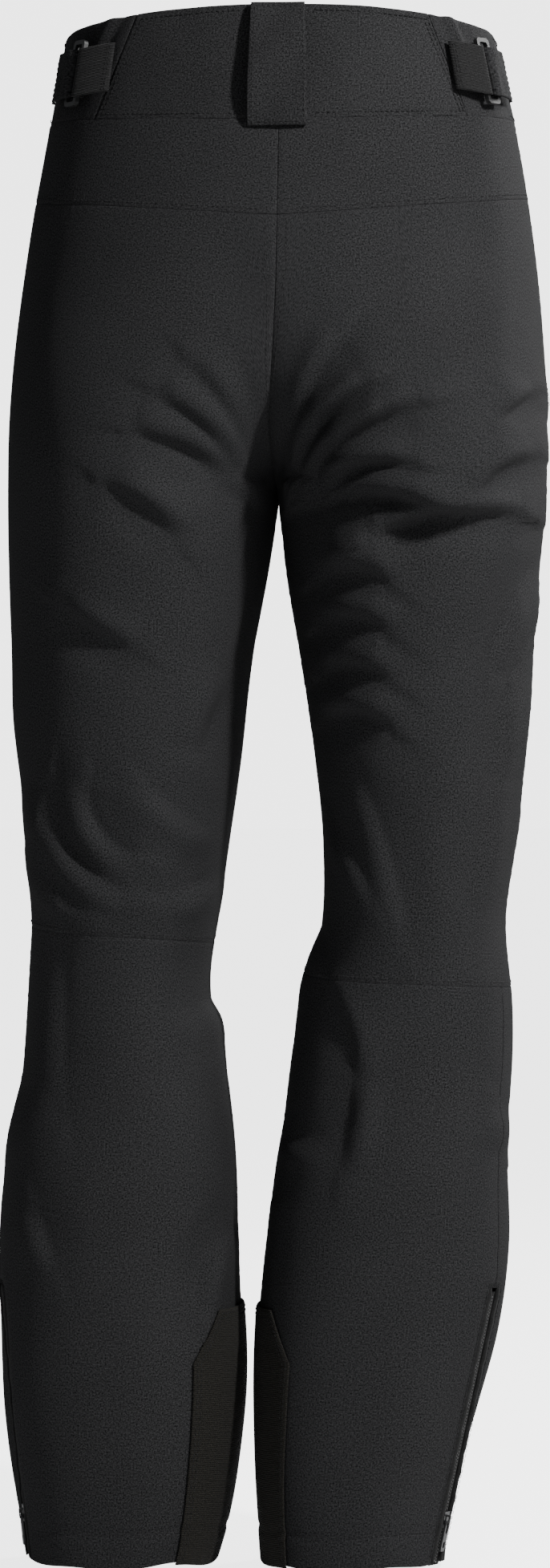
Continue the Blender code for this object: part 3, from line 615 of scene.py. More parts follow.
def simulate(side, target, u, z):
    """Lets the cloth of one side buckle and settle round its target, and returns its grid."""
    rows, columns = target.shape[:2]
    rest = eased_body(side, u, z)
    rest = rest + grid_normal(rest, side) * ROUND_SLACK
    rest[..., 2] = slack_height(rest[..., 2])
    closed = int(np.searchsorted(-z[:, 0], -CROTCH_Z)) + 1    # from this row down the leg is a tube
    index = np.arange(rows * columns).reshape(rows, columns)
    index[closed:, -1] = index[closed:, 0]
    faces = np.stack([index[:-1, :-1], index[:-1, 1:], index[1:, 1:], index[1:, :-1]], axis=-1)
    mesh = bpy.data.meshes.new("draping")
    mesh.from_pydata(rest.reshape(-1, 3).tolist(), [], faces.reshape(-1, 4).tolist())
    cloth = in_scene("draping", mesh)
    cloth.shape_key_add(name="Basis")
    hanging = cloth.shape_key_add(name="hanging")
    hanging.data.foreach_set("co", target.reshape(-1))
    group = cloth.vertex_groups.new(name="held")
    for place, weight in enumerate(held(side, u, z).ravel()):
        group.add([place], float(weight), "REPLACE")
    modifier = cloth.modifiers.new("drape", "CLOTH")
    for name, value in CLOTH.items():
        setattr(modifier.settings, name, value)
    modifier.settings.effector_weights.gravity = 0.0
    modifier.collision_settings.use_collision = False
    modifier.collision_settings.use_self_collision = False
    modifier.point_cache.frame_end = DRAPE_FRAMES
    for moment in range(1, DRAPE_FRAMES + 1):
        hanging.value = min(1.0, (moment - 1) / DRAPE_RAMP)
        bpy.context.scene.frame_set(moment)
    graph = bpy.context.evaluated_depsgraph_get()
    settled = cloth.evaluated_get(graph).data
    found = np.empty(rows * columns * 3)
    settled.vertices.foreach_get("co", found)
    found = found.reshape(rows, columns, 3)
    found[closed:, -1] = found[closed:, 0]
    bpy.data.objects.remove(cloth, do_unlink=True)
    bpy.context.scene.frame_set(1)
    moved = found - target
    out = grid_normal(eased_body(side, u, z), side)
    sunk = (moved * out).sum(axis=-1, keepdims=True)
    moved = moved + out * np.maximum(-sunk - DRAPE_SINK, 0.0) * SINK_BACK
    moved = moved - blurred(blurred(moved, 0, DRIFT_REACH), 1, DRIFT_REACH)
    far = np.linalg.norm(moved, axis=-1, keepdims=True)
    return target + moved * np.minimum(1.0, DRAPE_CAP / np.maximum(far, 1e-9))


def drape(side):
    """Grid of the settled cloth of one side, with margins that go on past its edges."""
    u = np.linspace(-1.0, 1.0, GRID_COLUMNS)[None, :] + np.zeros((GRID_ROWS, 1))
    z = np.linspace(GRID_TOP, GRID_BOTTOM, GRID_ROWS)[:, None] + np.zeros((1, GRID_COLUMNS))
    grid = folded(side, u, z)
    grid = simulate(side, grid, u, z)
    below = (z[:, 0] < CROTCH_Z)[:, None, None]
    inside = grid[:, 1:GRID_MARGIN + 1]
    outside = grid[:, -GRID_MARGIN - 1:-1]
    before = np.where(below, outside, 2 * grid[:, :1] - inside[:, ::-1])
    after = np.where(below, inside, 2 * grid[:, -1:] - outside[:, ::-1])
    return np.concatenate([before, grid, after], axis=1)


def cubic_weights(t):
    """Weights of four neighbours in a row, for a smooth curve through the middle two."""
    return (0.5 * (-t + 2 * t ** 2 - t ** 3), 0.5 * (2 - 5 * t ** 2 + 3 * t ** 3),
            0.5 * (t + 4 * t ** 2 - 3 * t ** 3), 0.5 * (t ** 3 - t ** 2))


def draped(side, u, z):
    """Points of the draped cloth, by cubic interpolation in its grid."""
    u, z = np.broadcast_arrays(np.asarray(u, float), np.asarray(z, float))
    grid = DRAPED[side]
    rows, columns = grid.shape[:2]
    i = (u + 1.0) / 2 * (GRID_COLUMNS - 1) + GRID_MARGIN
    j = (GRID_TOP - z) / (GRID_TOP - GRID_BOTTOM) * (GRID_ROWS - 1)
    first_i = np.clip(np.floor(i).astype(int), 1, columns - 3)
    first_j = np.clip(np.floor(j).astype(int), 0, rows - 2)
    across = cubic_weights(i - first_i)
    down = cubic_weights(np.clip(j - first_j, 0, 1.5))
    total = np.zeros(u.shape + (3,))
    for a in range(4):
        for b in range(4):
            row = np.clip(first_j + b - 1, 0, rows - 1)
            total += (across[a] * down[b])[..., None] * grid[row, first_i + a - 1]
    return total


HEM_TURN = 0.0225              # the hem is turned up this far
HEM_DOUBLE = 0.0003            # the turned-up hem is two layers thick
HEM_GROOVE = 0.0009            # its row of stitches pulls the cloth in,
HEM_GROOVE_HALF = 0.0022       # over this much on both sides


def shell(side, u, z):
    """Points of the outer shell: the draped cloth, creased, and brought down beside the zips."""
    point = draped(side, u, z)
    plain = body(side, u, z)
    out = normal_of(lambda a, b: body(side, a, b), side, u, z)
    lift = CREASE_SHARE * creases(plain, out)
    lift *= clear_of_inseam(np.where(np.abs(u) > 1.0, 2.0 - np.abs(u), u))
    above = z - hem_level(side)(u) - HEM_TURN
    lift += HEM_DOUBLE * (1.0 - smooth((above + 0.004) / 0.004)) - HEM_GROOVE * bell(above / HEM_GROOVE_HALF)
    point = point + out * lift[..., None]
    for zipper in ZIPS.values():
        if zipper["side"] in (0, side):
            point = settle(point, zipper)
    return point


# ---------------------------------------------------------------- materials

SPECKLE = 900.0                # fine noise, in cells per metre of cloth
SLOW_SHARE = 0.10              # share of the slow noise in the colour
WAVE_SCALE = 0.314             # one wave of the wave texture is this long at scale 1
WEAVE_HEIGHT = 0.00035         # of the threads in the bump
GLOSS_SPREAD = 0.07            # the roughness of cloth varies by this much up and down
MATT_SPECULAR = 0.02
SCUFF_CELLS = 350.0            # noise for hard parts, in cells per metre


def nodes_of(name):
    """A new material with its node tree and its shader."""
    made = bpy.data.materials.new(name)
    made.use_nodes = True
    tree = made.node_tree
    return made, tree, tree.nodes["Principled BSDF"]


def add(tree, kind, **settings):
    """A new node. A setting is an input's value where the node has such an input."""
    node = tree.nodes.new(kind)
    for key, value in settings.items():
        if key in node.inputs:
            node.inputs[key].default_value = value
        else:
            setattr(node, key, value)
    return node


def maths(tree, operation, *values):
    """Output of a maths node. Each value is a number or another node's output."""
    node = add(tree, "ShaderNodeMath", operation=operation)
    for socket, value in zip(node.inputs, values):
        if isinstance(value, bpy.types.NodeSocket):
            tree.links.new(value, socket)
        else:
            socket.default_value = value
    return node.outputs[0]


def noise(tree, where, scale, detail, roughness):
    """Output of a noise texture at the given coordinates."""
    node = add(tree, "ShaderNodeTexNoise", Scale=scale, Detail=detail, Roughness=roughness)
    tree.links.new(where, node.inputs["Vector"])
    return node.outputs[0]


def two_tone(tree, shader, level, *stops):
    """Base colour that follows the level between two stops, each (position, colour)."""
    ramp = add(tree, "ShaderNodeValToRGB")
    for element, (position, colour) in zip(ramp.color_ramp.elements, stops):
        element.position = position
        element.color = (*colour, 1)
    tree.links.new(level, ramp.inputs[0])
    tree.links.new(ramp.outputs[0], shader.inputs["Base Color"])


def uneven_gloss(tree, shader, level, low, high):
    """Roughness that follows the level, from low to high."""
    spread = add(tree, "ShaderNodeMapRange")
    spread.inputs["To Min"].default_value = low
    spread.inputs["To Max"].default_value = high
    tree.links.new(level, spread.inputs["Value"])
    tree.links.new(spread.outputs[0], shader.inputs["Roughness"])


def embossed(tree, shader, height, strength, distance):
    """A bump on the shader from a height."""
    bump = add(tree, "ShaderNodeBump", Strength=strength, Distance=distance)
    tree.links.new(height, bump.inputs["Height"])
    tree.links.new(bump.outputs[0], shader.inputs["Normal"])


def cloth_material(name, dark, light, rough, pitch, rib=(1.0, 1.0), depth=0.35, sheen=0.25):
    """Woven cloth: two crossing thread waves for the bump, fine speckle for the colour."""
    made, tree, shader = nodes_of(name)
    where = add(tree, "ShaderNodeUVMap", uv_map="cloth").outputs[0]
    slow = noise(tree, where, 9.0, 3.0, 0.5)
    fine = noise(tree, where, SPECKLE, 2.0, 0.6)
    both = maths(tree, "MULTIPLY_ADD", fine, 1.0 - SLOW_SHARE, maths(tree, "MULTIPLY", slow, SLOW_SHARE))
    two_tone(tree, shader, both, (0.32, dark), (0.70, light))
    threads = []
    for axis, weight in zip(("X", "Y"), rib):
        wave = add(tree, "ShaderNodeTexWave", wave_type="BANDS", bands_direction=axis,
                   wave_profile="SIN", Scale=WAVE_SCALE / pitch, Distortion=0.6, Detail=1.0)
        tree.links.new(where, wave.inputs["Vector"])
        threads.append(maths(tree, "MULTIPLY", wave.outputs["Fac"], weight))
    weave = maths(tree, "ADD", maths(tree, "ADD", *threads), fine)
    embossed(tree, shader, weave, depth, WEAVE_HEIGHT)
    uneven_gloss(tree, shader, slow, rough - GLOSS_SPREAD, rough + GLOSS_SPREAD)
    shader.inputs["Sheen Weight"].default_value = sheen
    shader.inputs["Sheen Roughness"].default_value = 0.5
    shader.inputs["Specular IOR Level"].default_value = MATT_SPECULAR
    return made


def hard_material(name, colour, wear, rough, metallic=0.0):
    """Moulded plastic or plated metal with faint scuffs and a slightly uneven gloss."""
    made, tree, shader = nodes_of(name)
    where = add(tree, "ShaderNodeTexCoord").outputs["Object"]
    scuffs = noise(tree, where, SCUFF_CELLS, 4.0, 0.65)
    two_tone(tree, shader, scuffs, (0.55, colour), (0.85, wear))
    uneven_gloss(tree, shader, scuffs, rough, rough + 0.18)
    embossed(tree, shader, scuffs, 0.12, 0.0001)
    shader.inputs["Metallic"].default_value = metallic
    return made


def grey(value, blue=None):
    """A neutral colour, or one with a little more or less blue."""
    return (value, value, value if blue is None else blue)


SHELL_LOOK = cloth_material("shell_cloth", grey(0.0045, 0.0047), grey(0.0425, 0.0437), 0.74, 0.00055,
                            depth=0.45, sheen=0.0)
GUARD_LOOK = cloth_material("guard_cloth", (0.0070, 0.0067, 0.0058), (0.0250, 0.0235, 0.0205), 0.64, 0.0013,
                            rib=(0.35, 1.6), depth=0.9, sheen=0.04)
LINING_LOOK = cloth_material("lining_cloth", grey(0.030, 0.033), grey(0.060, 0.066), 0.48, 0.0004,
                             depth=0.2, sheen=0.15)
ELASTIC_LOOK = cloth_material("elastic_cloth", grey(0.009), grey(0.028), 0.78, 0.0011,
                              rib=(0.3, 1.8), depth=1.0, sheen=0.05)
TAPE_LOOK = cloth_material("tape_cloth", grey(0.008), grey(0.020), 0.70, 0.0006, sheen=0.05)
THREAD_LOOK = cloth_material("thread", grey(0.012), grey(0.034, 0.035), 0.70, 0.0003, sheen=0.0)
TEETH_LOOK = hard_material("zip_teeth", grey(0.012), grey(0.035), 0.28)
RING_LOOK = hard_material("ring_plastic", grey(0.008), grey(0.02), 0.34)
METAL_LOOK = hard_material("black_metal", grey(0.05, 0.052), grey(0.16), 0.30, 0.9)

# ---------------------------------------------------------------- mesh builders

def finish_piece(made, look, replaced=()):
    """Gives a piece its material and its body, and hides the frame's parts that it stands for."""
    made.data.materials.append(look)
    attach(made, ROOT)
    if replaced:
        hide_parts(*replaced)
    return made


def link_mesh(name, vertices, faces, uvs=None):
    """New object from arrays; uvs gives one (u, v) per vertex, in metres of cloth."""
    mesh = bpy.data.meshes.new(name)
    mesh.from_pydata([tuple(v) for v in np.asarray(vertices)], [], [tuple(f) for f in faces])
    layer = mesh.uv_layers.new(name="cloth")
    if uvs is not None:
        index = np.empty(len(mesh.loops), int)
        mesh.loops.foreach_get("vertex_index", index)
        layer.data.foreach_set("uv", np.asarray(uvs, float)[index].ravel())
    mesh.shade_smooth()
    return in_scene(name, mesh)


def grid_faces(columns, rows, flip):
    """Four-sided faces between the points of a grid."""
    i, j = np.meshgrid(np.arange(columns - 1), np.arange(rows - 1))
    first = (j * columns + i).ravel()
    faces = np.stack([first, first + 1, first + columns + 1, first + columns], axis=-1)
    return faces[:, ::-1] if flip else faces


def thicken(made, thickness, offset):
    """Turns a sheet into a solid; the offset says to which side of it."""
    solidify = made.modifiers.new("thickness", "SOLIDIFY")
    solidify.thickness = thickness
    solidify.offset = offset


def grid_object(name, points, flip, look, replaced, thickness):
    """Thickened sheet from a grid of points, rows first."""
    rows, columns = points.shape[:2]
    across = np.zeros((rows, columns))
    across[:, 1:] = np.cumsum(np.linalg.norm(np.diff(points, axis=1), axis=-1), axis=1)
    across -= across.mean(axis=1, keepdims=True)
    up = np.zeros((rows, columns))
    up[1:] = np.cumsum(np.linalg.norm(np.diff(points, axis=0), axis=-1), axis=0)
    uvs = np.stack([across, up], axis=-1).reshape(-1, 2)
    made = link_mesh(name, points.reshape(-1, 3), grid_faces(columns, rows, flip), uvs)
    thicken(made, thickness, -1.0)
    return finish_piece(made, look, replaced)


EDGE_LINES = np.array([0.0, 0.0005, 0.0012, 0.0022, 0.0036])    # distances from a seam


def spaced(length, step):
    """Shares of a length, with close lines at both edges for a turned seam."""
    margins = EDGE_LINES / length
    count = max(int(round((length - 2 * EDGE_LINES[-1]) / step)), 2)
    middle = np.linspace(margins[-1], 1 - margins[-1], count + 1)[1:-1]
    return np.concatenate([margins, middle, 1 - margins[::-1]])


STEP = 0.0029                  # usual distance between the points of a panel
EDGE_DROP = 0.0004             # the cloth turns down this far at a seam,
EDGE_TURN = 0.0008             # over this much of its width
PUCKER = 0.00022               # height of the puckers beside a seam
PUCKER_START = 0.0012          # they begin this far from it,
PUCKER_REACH = 0.0060          # and die out over this distance
PUCKER_LENGTHS = (0.0093, 0.0061)


def edge_profile(s, t, width, height, open_edges=()):
    """How far the cloth turns down at its seams, and how it puckers beside them."""
    drop = np.zeros(np.broadcast(s, t).shape)
    slow, quick = (math.tau / length for length in PUCKER_LENGTHS)
    sides = {"start": (s * width, t * height), "end": ((1 - s) * width, t * height),
             "low": (t * height, s * width), "high": ((1 - t) * height, s * width)}
    for name, (distance, along) in sides.items():
        if name in open_edges:
            continue
        drop -= EDGE_DROP * bell(distance / EDGE_TURN)
        wobble = np.sin(along * slow + 0.1 * math.tau) + 0.7 * np.sin(along * quick + 1.0)
        drop += PUCKER * wobble * np.exp(-distance / PUCKER_REACH) * (1 - np.exp(-distance / PUCKER_START))
    return drop


def edge(value):
    """A straight edge, as the function that a panel takes."""
    return lambda other: np.full_like(np.asarray(other, float), value)


def panel(name, side, start, end, low, high, width, height, surface=None, look=None,
          thickness=0.0010, step=STEP, open_edges=(), lift=0.0):
    """A panel between two upright edges u(z) and two level edges z(u), about width by height.

    It lies on the outer shell, or on a surface(u, z) of its own, at a given lift.
    """
    surface = surface or (lambda u, z: shell(side, u, z))
    s = spaced(width, step)[None, :]
    t = spaced(height, step)[:, None]
    u = mix(start(0.0), end(0.0), s) + 0 * t
    z = mix(low(u), high(u), t)
    u = mix(start(z), end(z), s)
    z = mix(low(u), high(u), t)
    points = surface(u, z)
    out = unit(np.cross(np.gradient(points, axis=1), np.gradient(points, axis=0))) * side
    drop = edge_profile(s, t, width, height, open_edges) + lift
    points = points + out * drop[..., None]
    return grid_object(f"{name}_cloth", points, side < 0, look or SHELL_LOOK, (name,), thickness)


# ---------------------------------------------------------------- stitches

STITCH = 0.0026
STITCH_GAP = 0.0010
STITCH_HALF_WIDTH = 0.00028
STITCH_HEIGHT = 0.00030        # of its middle over the cloth
STITCH_DIP = -0.0001           # of its two ends
THREAD_TOP = 0.00016           # from a stitch's centre line to its upper and its lower edge
THREAD_FOOT = 0.00025


class Stitches:
    """Collects rows of stitches and makes them one piece."""

    def __init__(self):
        self.vertices, self.faces = [], []

    def row(self, points, out, lift=0.0):
        """Stitches along a line of points with the outward direction at each."""
        lengths = np.concatenate([[0], np.cumsum(np.linalg.norm(np.diff(points, axis=0), axis=1))])
        count = int(lengths[-1] / (STITCH + STITCH_GAP))
        for k in range(count):
            start = k * (STITCH + STITCH_GAP)
            ends = []
            for place in (start, start + STITCH * 0.5, start + STITCH):
                ends.append([np.interp(place, lengths, points[:, c]) for c in range(3)])
            normal = unit(np.array([np.interp(start, lengths, out[:, c]) for c in range(3)]))
            ends = np.array(ends)
            across = unit(np.cross(ends[2] - ends[0], normal)) * STITCH_HALF_WIDTH
            base = len(self.vertices)
            for spot, rise in zip(ends, (STITCH_DIP, STITCH_HEIGHT, STITCH_DIP)):
                spot = spot + normal * (rise + lift)
                self.vertices += [spot + across, spot + normal * THREAD_TOP, spot - across,
                                  spot - normal * THREAD_FOOT]
            for first in (base, base + 4):
                for c in range(4):
                    a, b = first + c, first + (c + 1) % 4
                    self.faces.append((a, b, b + 4, a + 4))
            self.faces.append((base + 3, base + 2, base + 1, base))
            self.faces.append((base + 8, base + 9, base + 10, base + 11))

    def make(self, name):
        """One piece of all the rows so far."""
        vertices = np.array(self.vertices)
        finish_piece(link_mesh(name, vertices, self.faces, vertices[:, [0, 2]]), THREAD_LOOK)


def stitch_on_shell(stitches, side, u, z, lift=0.0):
    """A row of stitches on the shell, or a given height above it, along arrays of u and z."""
    points = shell(side, u, z)
    out = normal_of(lambda a, b: shell(side, a, b), side, u, z)
    stitches.row(points, out, lift)


# ---------------------------------------------------------------- outer shell

SPLIT_GAP = 0.0016             # between the lower panels at the outer seam, as a share u
SLOT_PAST = 0.003              # a zip's opening goes on this far past both of its ends
SLOT_DEPTH = 0.02
SHARP_ANGLE = math.radians(50)


def hem_level(side):
    """The hem is a little higher behind than in front, and wavers."""
    def at(u):
        wave = 0.0016 * np.sin(math.tau * u * 1.5 + 0.6 * side) + 0.0010 * np.sin(math.tau * u * 3.2)
        return HEM_Z + 0.004 + 0.0030 * np.sin(math.pi * u) + wave
    return at


def cut_slots(made, names):
    """Opens the cloth along zips, with one straight cut each."""
    for name in names:
        zipper = ZIPS[name]
        ends = (-SLOT_PAST, zipper["length"] + SLOT_PAST)
        depths = (-SLOT_DEPTH, SLOT_DEPTH)
        corners = [(x, y, z) for x in (-SLOT_HALF, SLOT_HALF) for y in ends for z in depths]
        faces = [(0, 1, 3, 2), (4, 6, 7, 5), (0, 4, 5, 1), (2, 3, 7, 6), (0, 2, 6, 4), (1, 5, 7, 3)]
        cutter = link_mesh(f"{name}_cutter", world(np.array(corners), zipper["frame"]), faces)
        opening = made.modifiers.new("opening", "BOOLEAN")
        opening.operation = "DIFFERENCE"
        opening.object = cutter
        bpy.context.view_layer.update()
        graph = bpy.context.evaluated_depsgraph_get()
        opened = bpy.data.meshes.new_from_object(made.evaluated_get(graph))
        made.modifiers.clear()
        made.data = opened
        bpy.data.objects.remove(cutter, do_unlink=True)
    made.data.set_sharp_from_angle(angle=SHARP_ANGLE)


def build_shell(side, word):
    """The five outer panels of one side."""
    at_knee = knee_seam(side)
    hem = hem_level(side)
    split = HEM_ZIP_U[side]
    hem_zip = f"hem_zip_{word}"
    panel(f"back_yoke_{word}", side, edge(0.0), edge(1.0), yoke_seam, waist_seam, 0.24, 0.06)
    panel(f"back_panel_{word}", side, edge(0.0), edge(1.0), at_knee, yoke_seam, 0.26, 0.50)
    front = panel(f"front_panel_{word}", side, edge(-1.0), edge(0.0), at_knee, waist_seam, 0.26, 0.52)
    cut_slots(front, (f"pocket_zip_{word}", "fly_zip"))
    back = panel(f"lower_back_{word}", side, edge(split + SPLIT_GAP), edge(1.0), hem, at_knee,
                 0.20, 0.42, open_edges=("low",))
    cut_slots(back, (hem_zip,))
    front = panel(f"lower_front_{word}", side, edge(-1.0), edge(split - SPLIT_GAP), hem, at_knee,
                  0.26, 0.42, open_edges=("low",))
    cut_slots(front, (hem_zip,))


GUARD_TOP_Z = -0.880
GUARD_KINK_Z = -0.915          # its upright edges slant inward above this
GUARD_BACK = (0.81, 0.71)      # u of its back edge at the top, and from the kink down
GUARD_FRONT = (1.14, 1.22)
GUARD_LIFT = 0.0024
GUARD_THICKNESS = 0.0012
GUARD_OVERHANG = 0.0012        # it ends this far under the hem
GUARD_SIDE_ROW = 0.012         # rows of stitches this far inside its upright edges, and twice as far,
GUARD_TOP_ROWS = (0.0030, 0.0060)                          # and this far under its top


def build_scuff_guard(side, word):
    """An abrasion patch over the inside of the ankle, with slanted upper corners."""

    def limit(reach):
        def at(z):
            t = np.clip((GUARD_TOP_Z - z) / (GUARD_TOP_Z - GUARD_KINK_Z), 0.0, 1.0)
            return mix(reach[0], reach[1], t)
        return at

    hem = hem_level(side)

    def low(u):
        return hem(u) - GUARD_OVERHANG

    panel(f"scuff_guard_{word}", side, limit(GUARD_BACK), limit(GUARD_FRONT), low,
          edge(GUARD_TOP_Z), 0.09, 0.17, look=GUARD_LOOK, thickness=GUARD_THICKNESS,
          step=0.0026, lift=GUARD_LIFT)
    stitches = Stitches()
    z = np.linspace(HEM_Z + 0.010, GUARD_TOP_Z - 0.003, 160)
    for reach, inward in ((GUARD_BACK, GUARD_SIDE_ROW), (GUARD_FRONT, -GUARD_SIDE_ROW)):
        for line in (inward, inward * 2.0):
            stitch_on_shell(stitches, side, limit(reach)(z) + line, z, GUARD_LIFT)
    u = np.linspace(GUARD_BACK[0] + 0.01, GUARD_FRONT[0] - 0.01, 60)
    for drop in GUARD_TOP_ROWS:
        stitch_on_shell(stitches, side, u, np.full_like(u, GUARD_TOP_Z - drop), GUARD_LIFT)
    stitches.make(f"scuff_guard_{word}_stitches")


SEAM_STITCH = 0.0032           # a row runs this far above a level seam
CENTRE_STITCH_U = 0.984        # and here beside the centre seam of the seat
ZIP_CLEARANCE_U = 0.035        # the hem's row stops this far from its zip


def build_seam_stitches():
    """The rows along the yoke, the knee, the seat's centre seam and the hem."""
    stitches = Stitches()
    for side in SIDES:
        u = np.linspace(0.02, 0.985, 260)
        stitch_on_shell(stitches, side, u, yoke_seam(u) + SEAM_STITCH)
        u = np.linspace(-0.985, 0.985, 420)
        stitch_on_shell(stitches, side, u, knee_seam(side)(u) + SEAM_STITCH)
        z = np.linspace(YOKE_CENTRE_Z - 0.004, CROTCH_Z + 0.004, 200)
        stitch_on_shell(stitches, side, np.full_like(z, CENTRE_STITCH_U), z)
        before, after = HEM_ZIP_U[side] - ZIP_CLEARANCE_U, HEM_ZIP_U[side] + ZIP_CLEARANCE_U
        for start, end in ((-0.99, before), (after, GUARD_BACK[1])):
            u = np.linspace(start, end, 300)
            stitch_on_shell(stitches, side, u, hem_level(side)(u) + HEM_TURN)
    stitches.make("seam_stitches")


# ---------------------------------------------------------------- waist

# places v round the waist, as around() counts them
BACK_BAND_END = {1: (0.262, 0.202), -1: (0.286, 0.234)}    # at the foot and at the top
GUSSET_END = 0.44
FRONT_BAND_END = 0.998
FACING_END = 0.996
BAND_GAP = 0.0014
LOOP_CLEARANCE = 0.034         # the stitches stop here on both sides of the back loop
BAND_THICKNESS = 0.0024
FACING_INSET = 0.0044
WAIST_PERIMETER = 0.86         # metres
SEAM_ROW = 0.0036              # rows of stitches above the waist seam,
TOP_ROW = 0.0042               # and under the top edge
BAND_MARGIN = 0.004            # they end this far, as v, before the slanted ends of the back band
END_ROWS = (0.006, 0.014)      # and two slanted rows run this far inside those ends
FRONT_ROW_END = 0.93
STITCH_REST = 0.0003           # stitches lie this far over the cloth


def around(v, z, inset=0.0):
    """Points of the waist: v is 0 at the centre back, 1 at the front by the left, -1 by the right."""
    v, z = np.broadcast_arrays(np.asarray(v, float), np.asarray(z, float))
    v = np.where(v > 1.0, v - 2.0, np.where(v < -1.0, v + 2.0, v))
    left = body(1, 1.0 - 2.0 * np.abs(v), z, inset)
    right = body(-1, 1.0 - 2.0 * np.abs(v), z, inset)
    return np.where((v >= 0)[..., None], left, right)


def waist_sheet(name, start, end, look, thickness, low, high, inset=0.0, shape=None, step=0.0026):
    """A sewn piece of the waist between two ends, each given as (v at its foot, v at its top).

    shape(s, t) gives a stand-off in metres that is added to the piece's own.
    """
    width = abs(end[0] - start[0]) * WAIST_PERIMETER / 2
    middle = (start[0] + end[0]) / 2
    height = float(high(np.array(middle)) - low(np.array(middle)))
    s = spaced(width, step)[None, :]
    t = spaced(height, step)[:, None]
    v = mix(mix(start[0], end[0], s), mix(start[1], end[1], s), t)
    z = mix(low(v), high(v), t)
    points = around(v, z, inset)
    across = np.gradient(points, axis=1)
    out = unit(np.cross(np.gradient(points, axis=0), across))
    lift = edge_profile(s, t, width, height)
    lift = lift + 0.0003 * np.sin(v * 41.0 + z * 20.0) + 0.0001 * np.sin(v * 87.0 - z * 40.0)
    if shape is not None:
        lift = lift + shape(s, t)
    points = points + out * lift[..., None]
    grid_object(f"{name}_cloth", points, True, look, (name,), thickness)


def top_level(v):
    """Height of the waistband's top edge at v."""
    return ring_height(WAIST_TOP, v)


def seam_level(v):
    """Height of the seam under the waistband at v."""
    return ring_height(WAIST_SEAM, v)


def pleat(s, t):
    """A fold lying over itself, from the top of the gusset downward."""
    line = mix(0.42, 0.22, t)
    rise = 0.0022 * bell((s - line) / 0.07) - 0.0014 * bell((s - line + 0.10) / 0.035)
    return rise * smooth((t - 0.15) / 0.6)


def build_waist():
    """The waistband in three parts, the gussets between them, the stitches and the facing."""
    right_end = tuple(-v for v in BACK_BAND_END[-1])
    left_end = BACK_BAND_END[1]
    stitches = Stitches()
    waist_sheet("waistband_back", right_end, left_end, SHELL_LOOK, BAND_THICKNESS, seam_level, top_level)
    for side, word in SIDES.items():
        lower, upper = BACK_BAND_END[side]
        gusset = ((lower + BAND_GAP, upper + BAND_GAP), (GUSSET_END, GUSSET_END))
        front = ((GUSSET_END + BAND_GAP,) * 2, (FRONT_BAND_END,) * 2)
        for name, (start, end), shape in ((f"waist_gusset_{word}", gusset, pleat),
                                          (f"waistband_front_{word}", front, None)):
            if side < 0:
                start, end = tuple(-v for v in end), tuple(-v for v in start)
                shape = shape and (lambda s, t: pleat(1.0 - s, t))
            waist_sheet(name, start, end, SHELL_LOOK, BAND_THICKNESS, seam_level, top_level, shape=shape)
        for inset_v in END_ROWS:
            t = np.linspace(0.05, 0.95, 60)
            v = side * (mix(lower, upper, t) - inset_v)
            waist_stitch(stitches, v, mix(seam_level(v), top_level(v), t))
    for end, level, rise in ((0, seam_level, SEAM_ROW), (1, top_level, -TOP_ROW)):
        right_half = (right_end[end] + BAND_MARGIN, -LOOP_CLEARANCE)
        left_half = (LOOP_CLEARANCE, left_end[end] - BAND_MARGIN)
        for start, stop in (right_half, left_half):
            v = np.linspace(start, stop, 120)
            waist_stitch(stitches, v, level(v) + rise)
    for side in SIDES:
        v = side * np.linspace(GUSSET_END + 0.008, FRONT_ROW_END, 160)
        waist_stitch(stitches, v, seam_level(v) + SEAM_ROW)
        waist_stitch(stitches, v, top_level(v) - TOP_ROW)
    stitches.make("waist_stitches")
    waist_sheet("waistband_facing", (-FACING_END,) * 2, (FACING_END,) * 2, LINING_LOOK, 0.0012,
                seam_level, top_level, inset=FACING_INSET, step=0.004)


def waist_stitch(stitches, v, z):
    """A row of stitches on the waistband along arrays of v and z."""
    points = around(v, z)
    stitches.row(points, unit(around(v, z, -0.002) - points), STITCH_REST)


CLOSURE_OUTSET = 0.0048
CLOSURE_REACH = (0.935, 1.060) # v of its two ends, past the middle
CLOSURE_LEVELS = (-0.064, -0.030)
CLOSURE_MARGIN = 0.0035        # from its edges to its stitches


def build_closure():
    """The tab that closes the waist in front, with two snaps one above the other."""
    start, end = CLOSURE_REACH
    low, high = CLOSURE_LEVELS
    waist_sheet("waist_closure_tab", (start, start), (end, end), SHELL_LOOK, 0.0016,
                edge(low), edge(high), inset=-CLOSURE_OUTSET, step=0.0018)
    stitches = Stitches()
    for z in (low + CLOSURE_MARGIN, high - CLOSURE_MARGIN):
        v = np.linspace(start + 0.008, end - 0.008, 60)
        points = around(v, np.full_like(v, z), -CLOSURE_OUTSET)
        stitches.row(points, np.tile([0.0, -1.0, 0.0], (len(v), 1)), 0.0004)
    stitches.make("closure_stitches")


BACK_LOOP_HALF_V = 0.0285      # half of its width, as v
LOOP_TOP_Z = 0.0008
LOOP_FOOT_Z = -0.084
FRONT_LOOP_HALF_V = 0.0120
FRONT_LOOPS_V = 0.70
LOOP_STAND = 0.0024            # its sewn ends lie this far off the waistband,
BACK_LOOP_SWELL = 0.0080       # and its middle this much further
FRONT_LOOP_SWELL = 0.0055
LOOP_THICKNESS = 0.0018
LOOP_RIMS = (0.12, 0.88)       # rows of stitches, as shares of its width
LOOP_ENDS = (0.045, 0.075, 0.925, 0.955)                   # and of its height


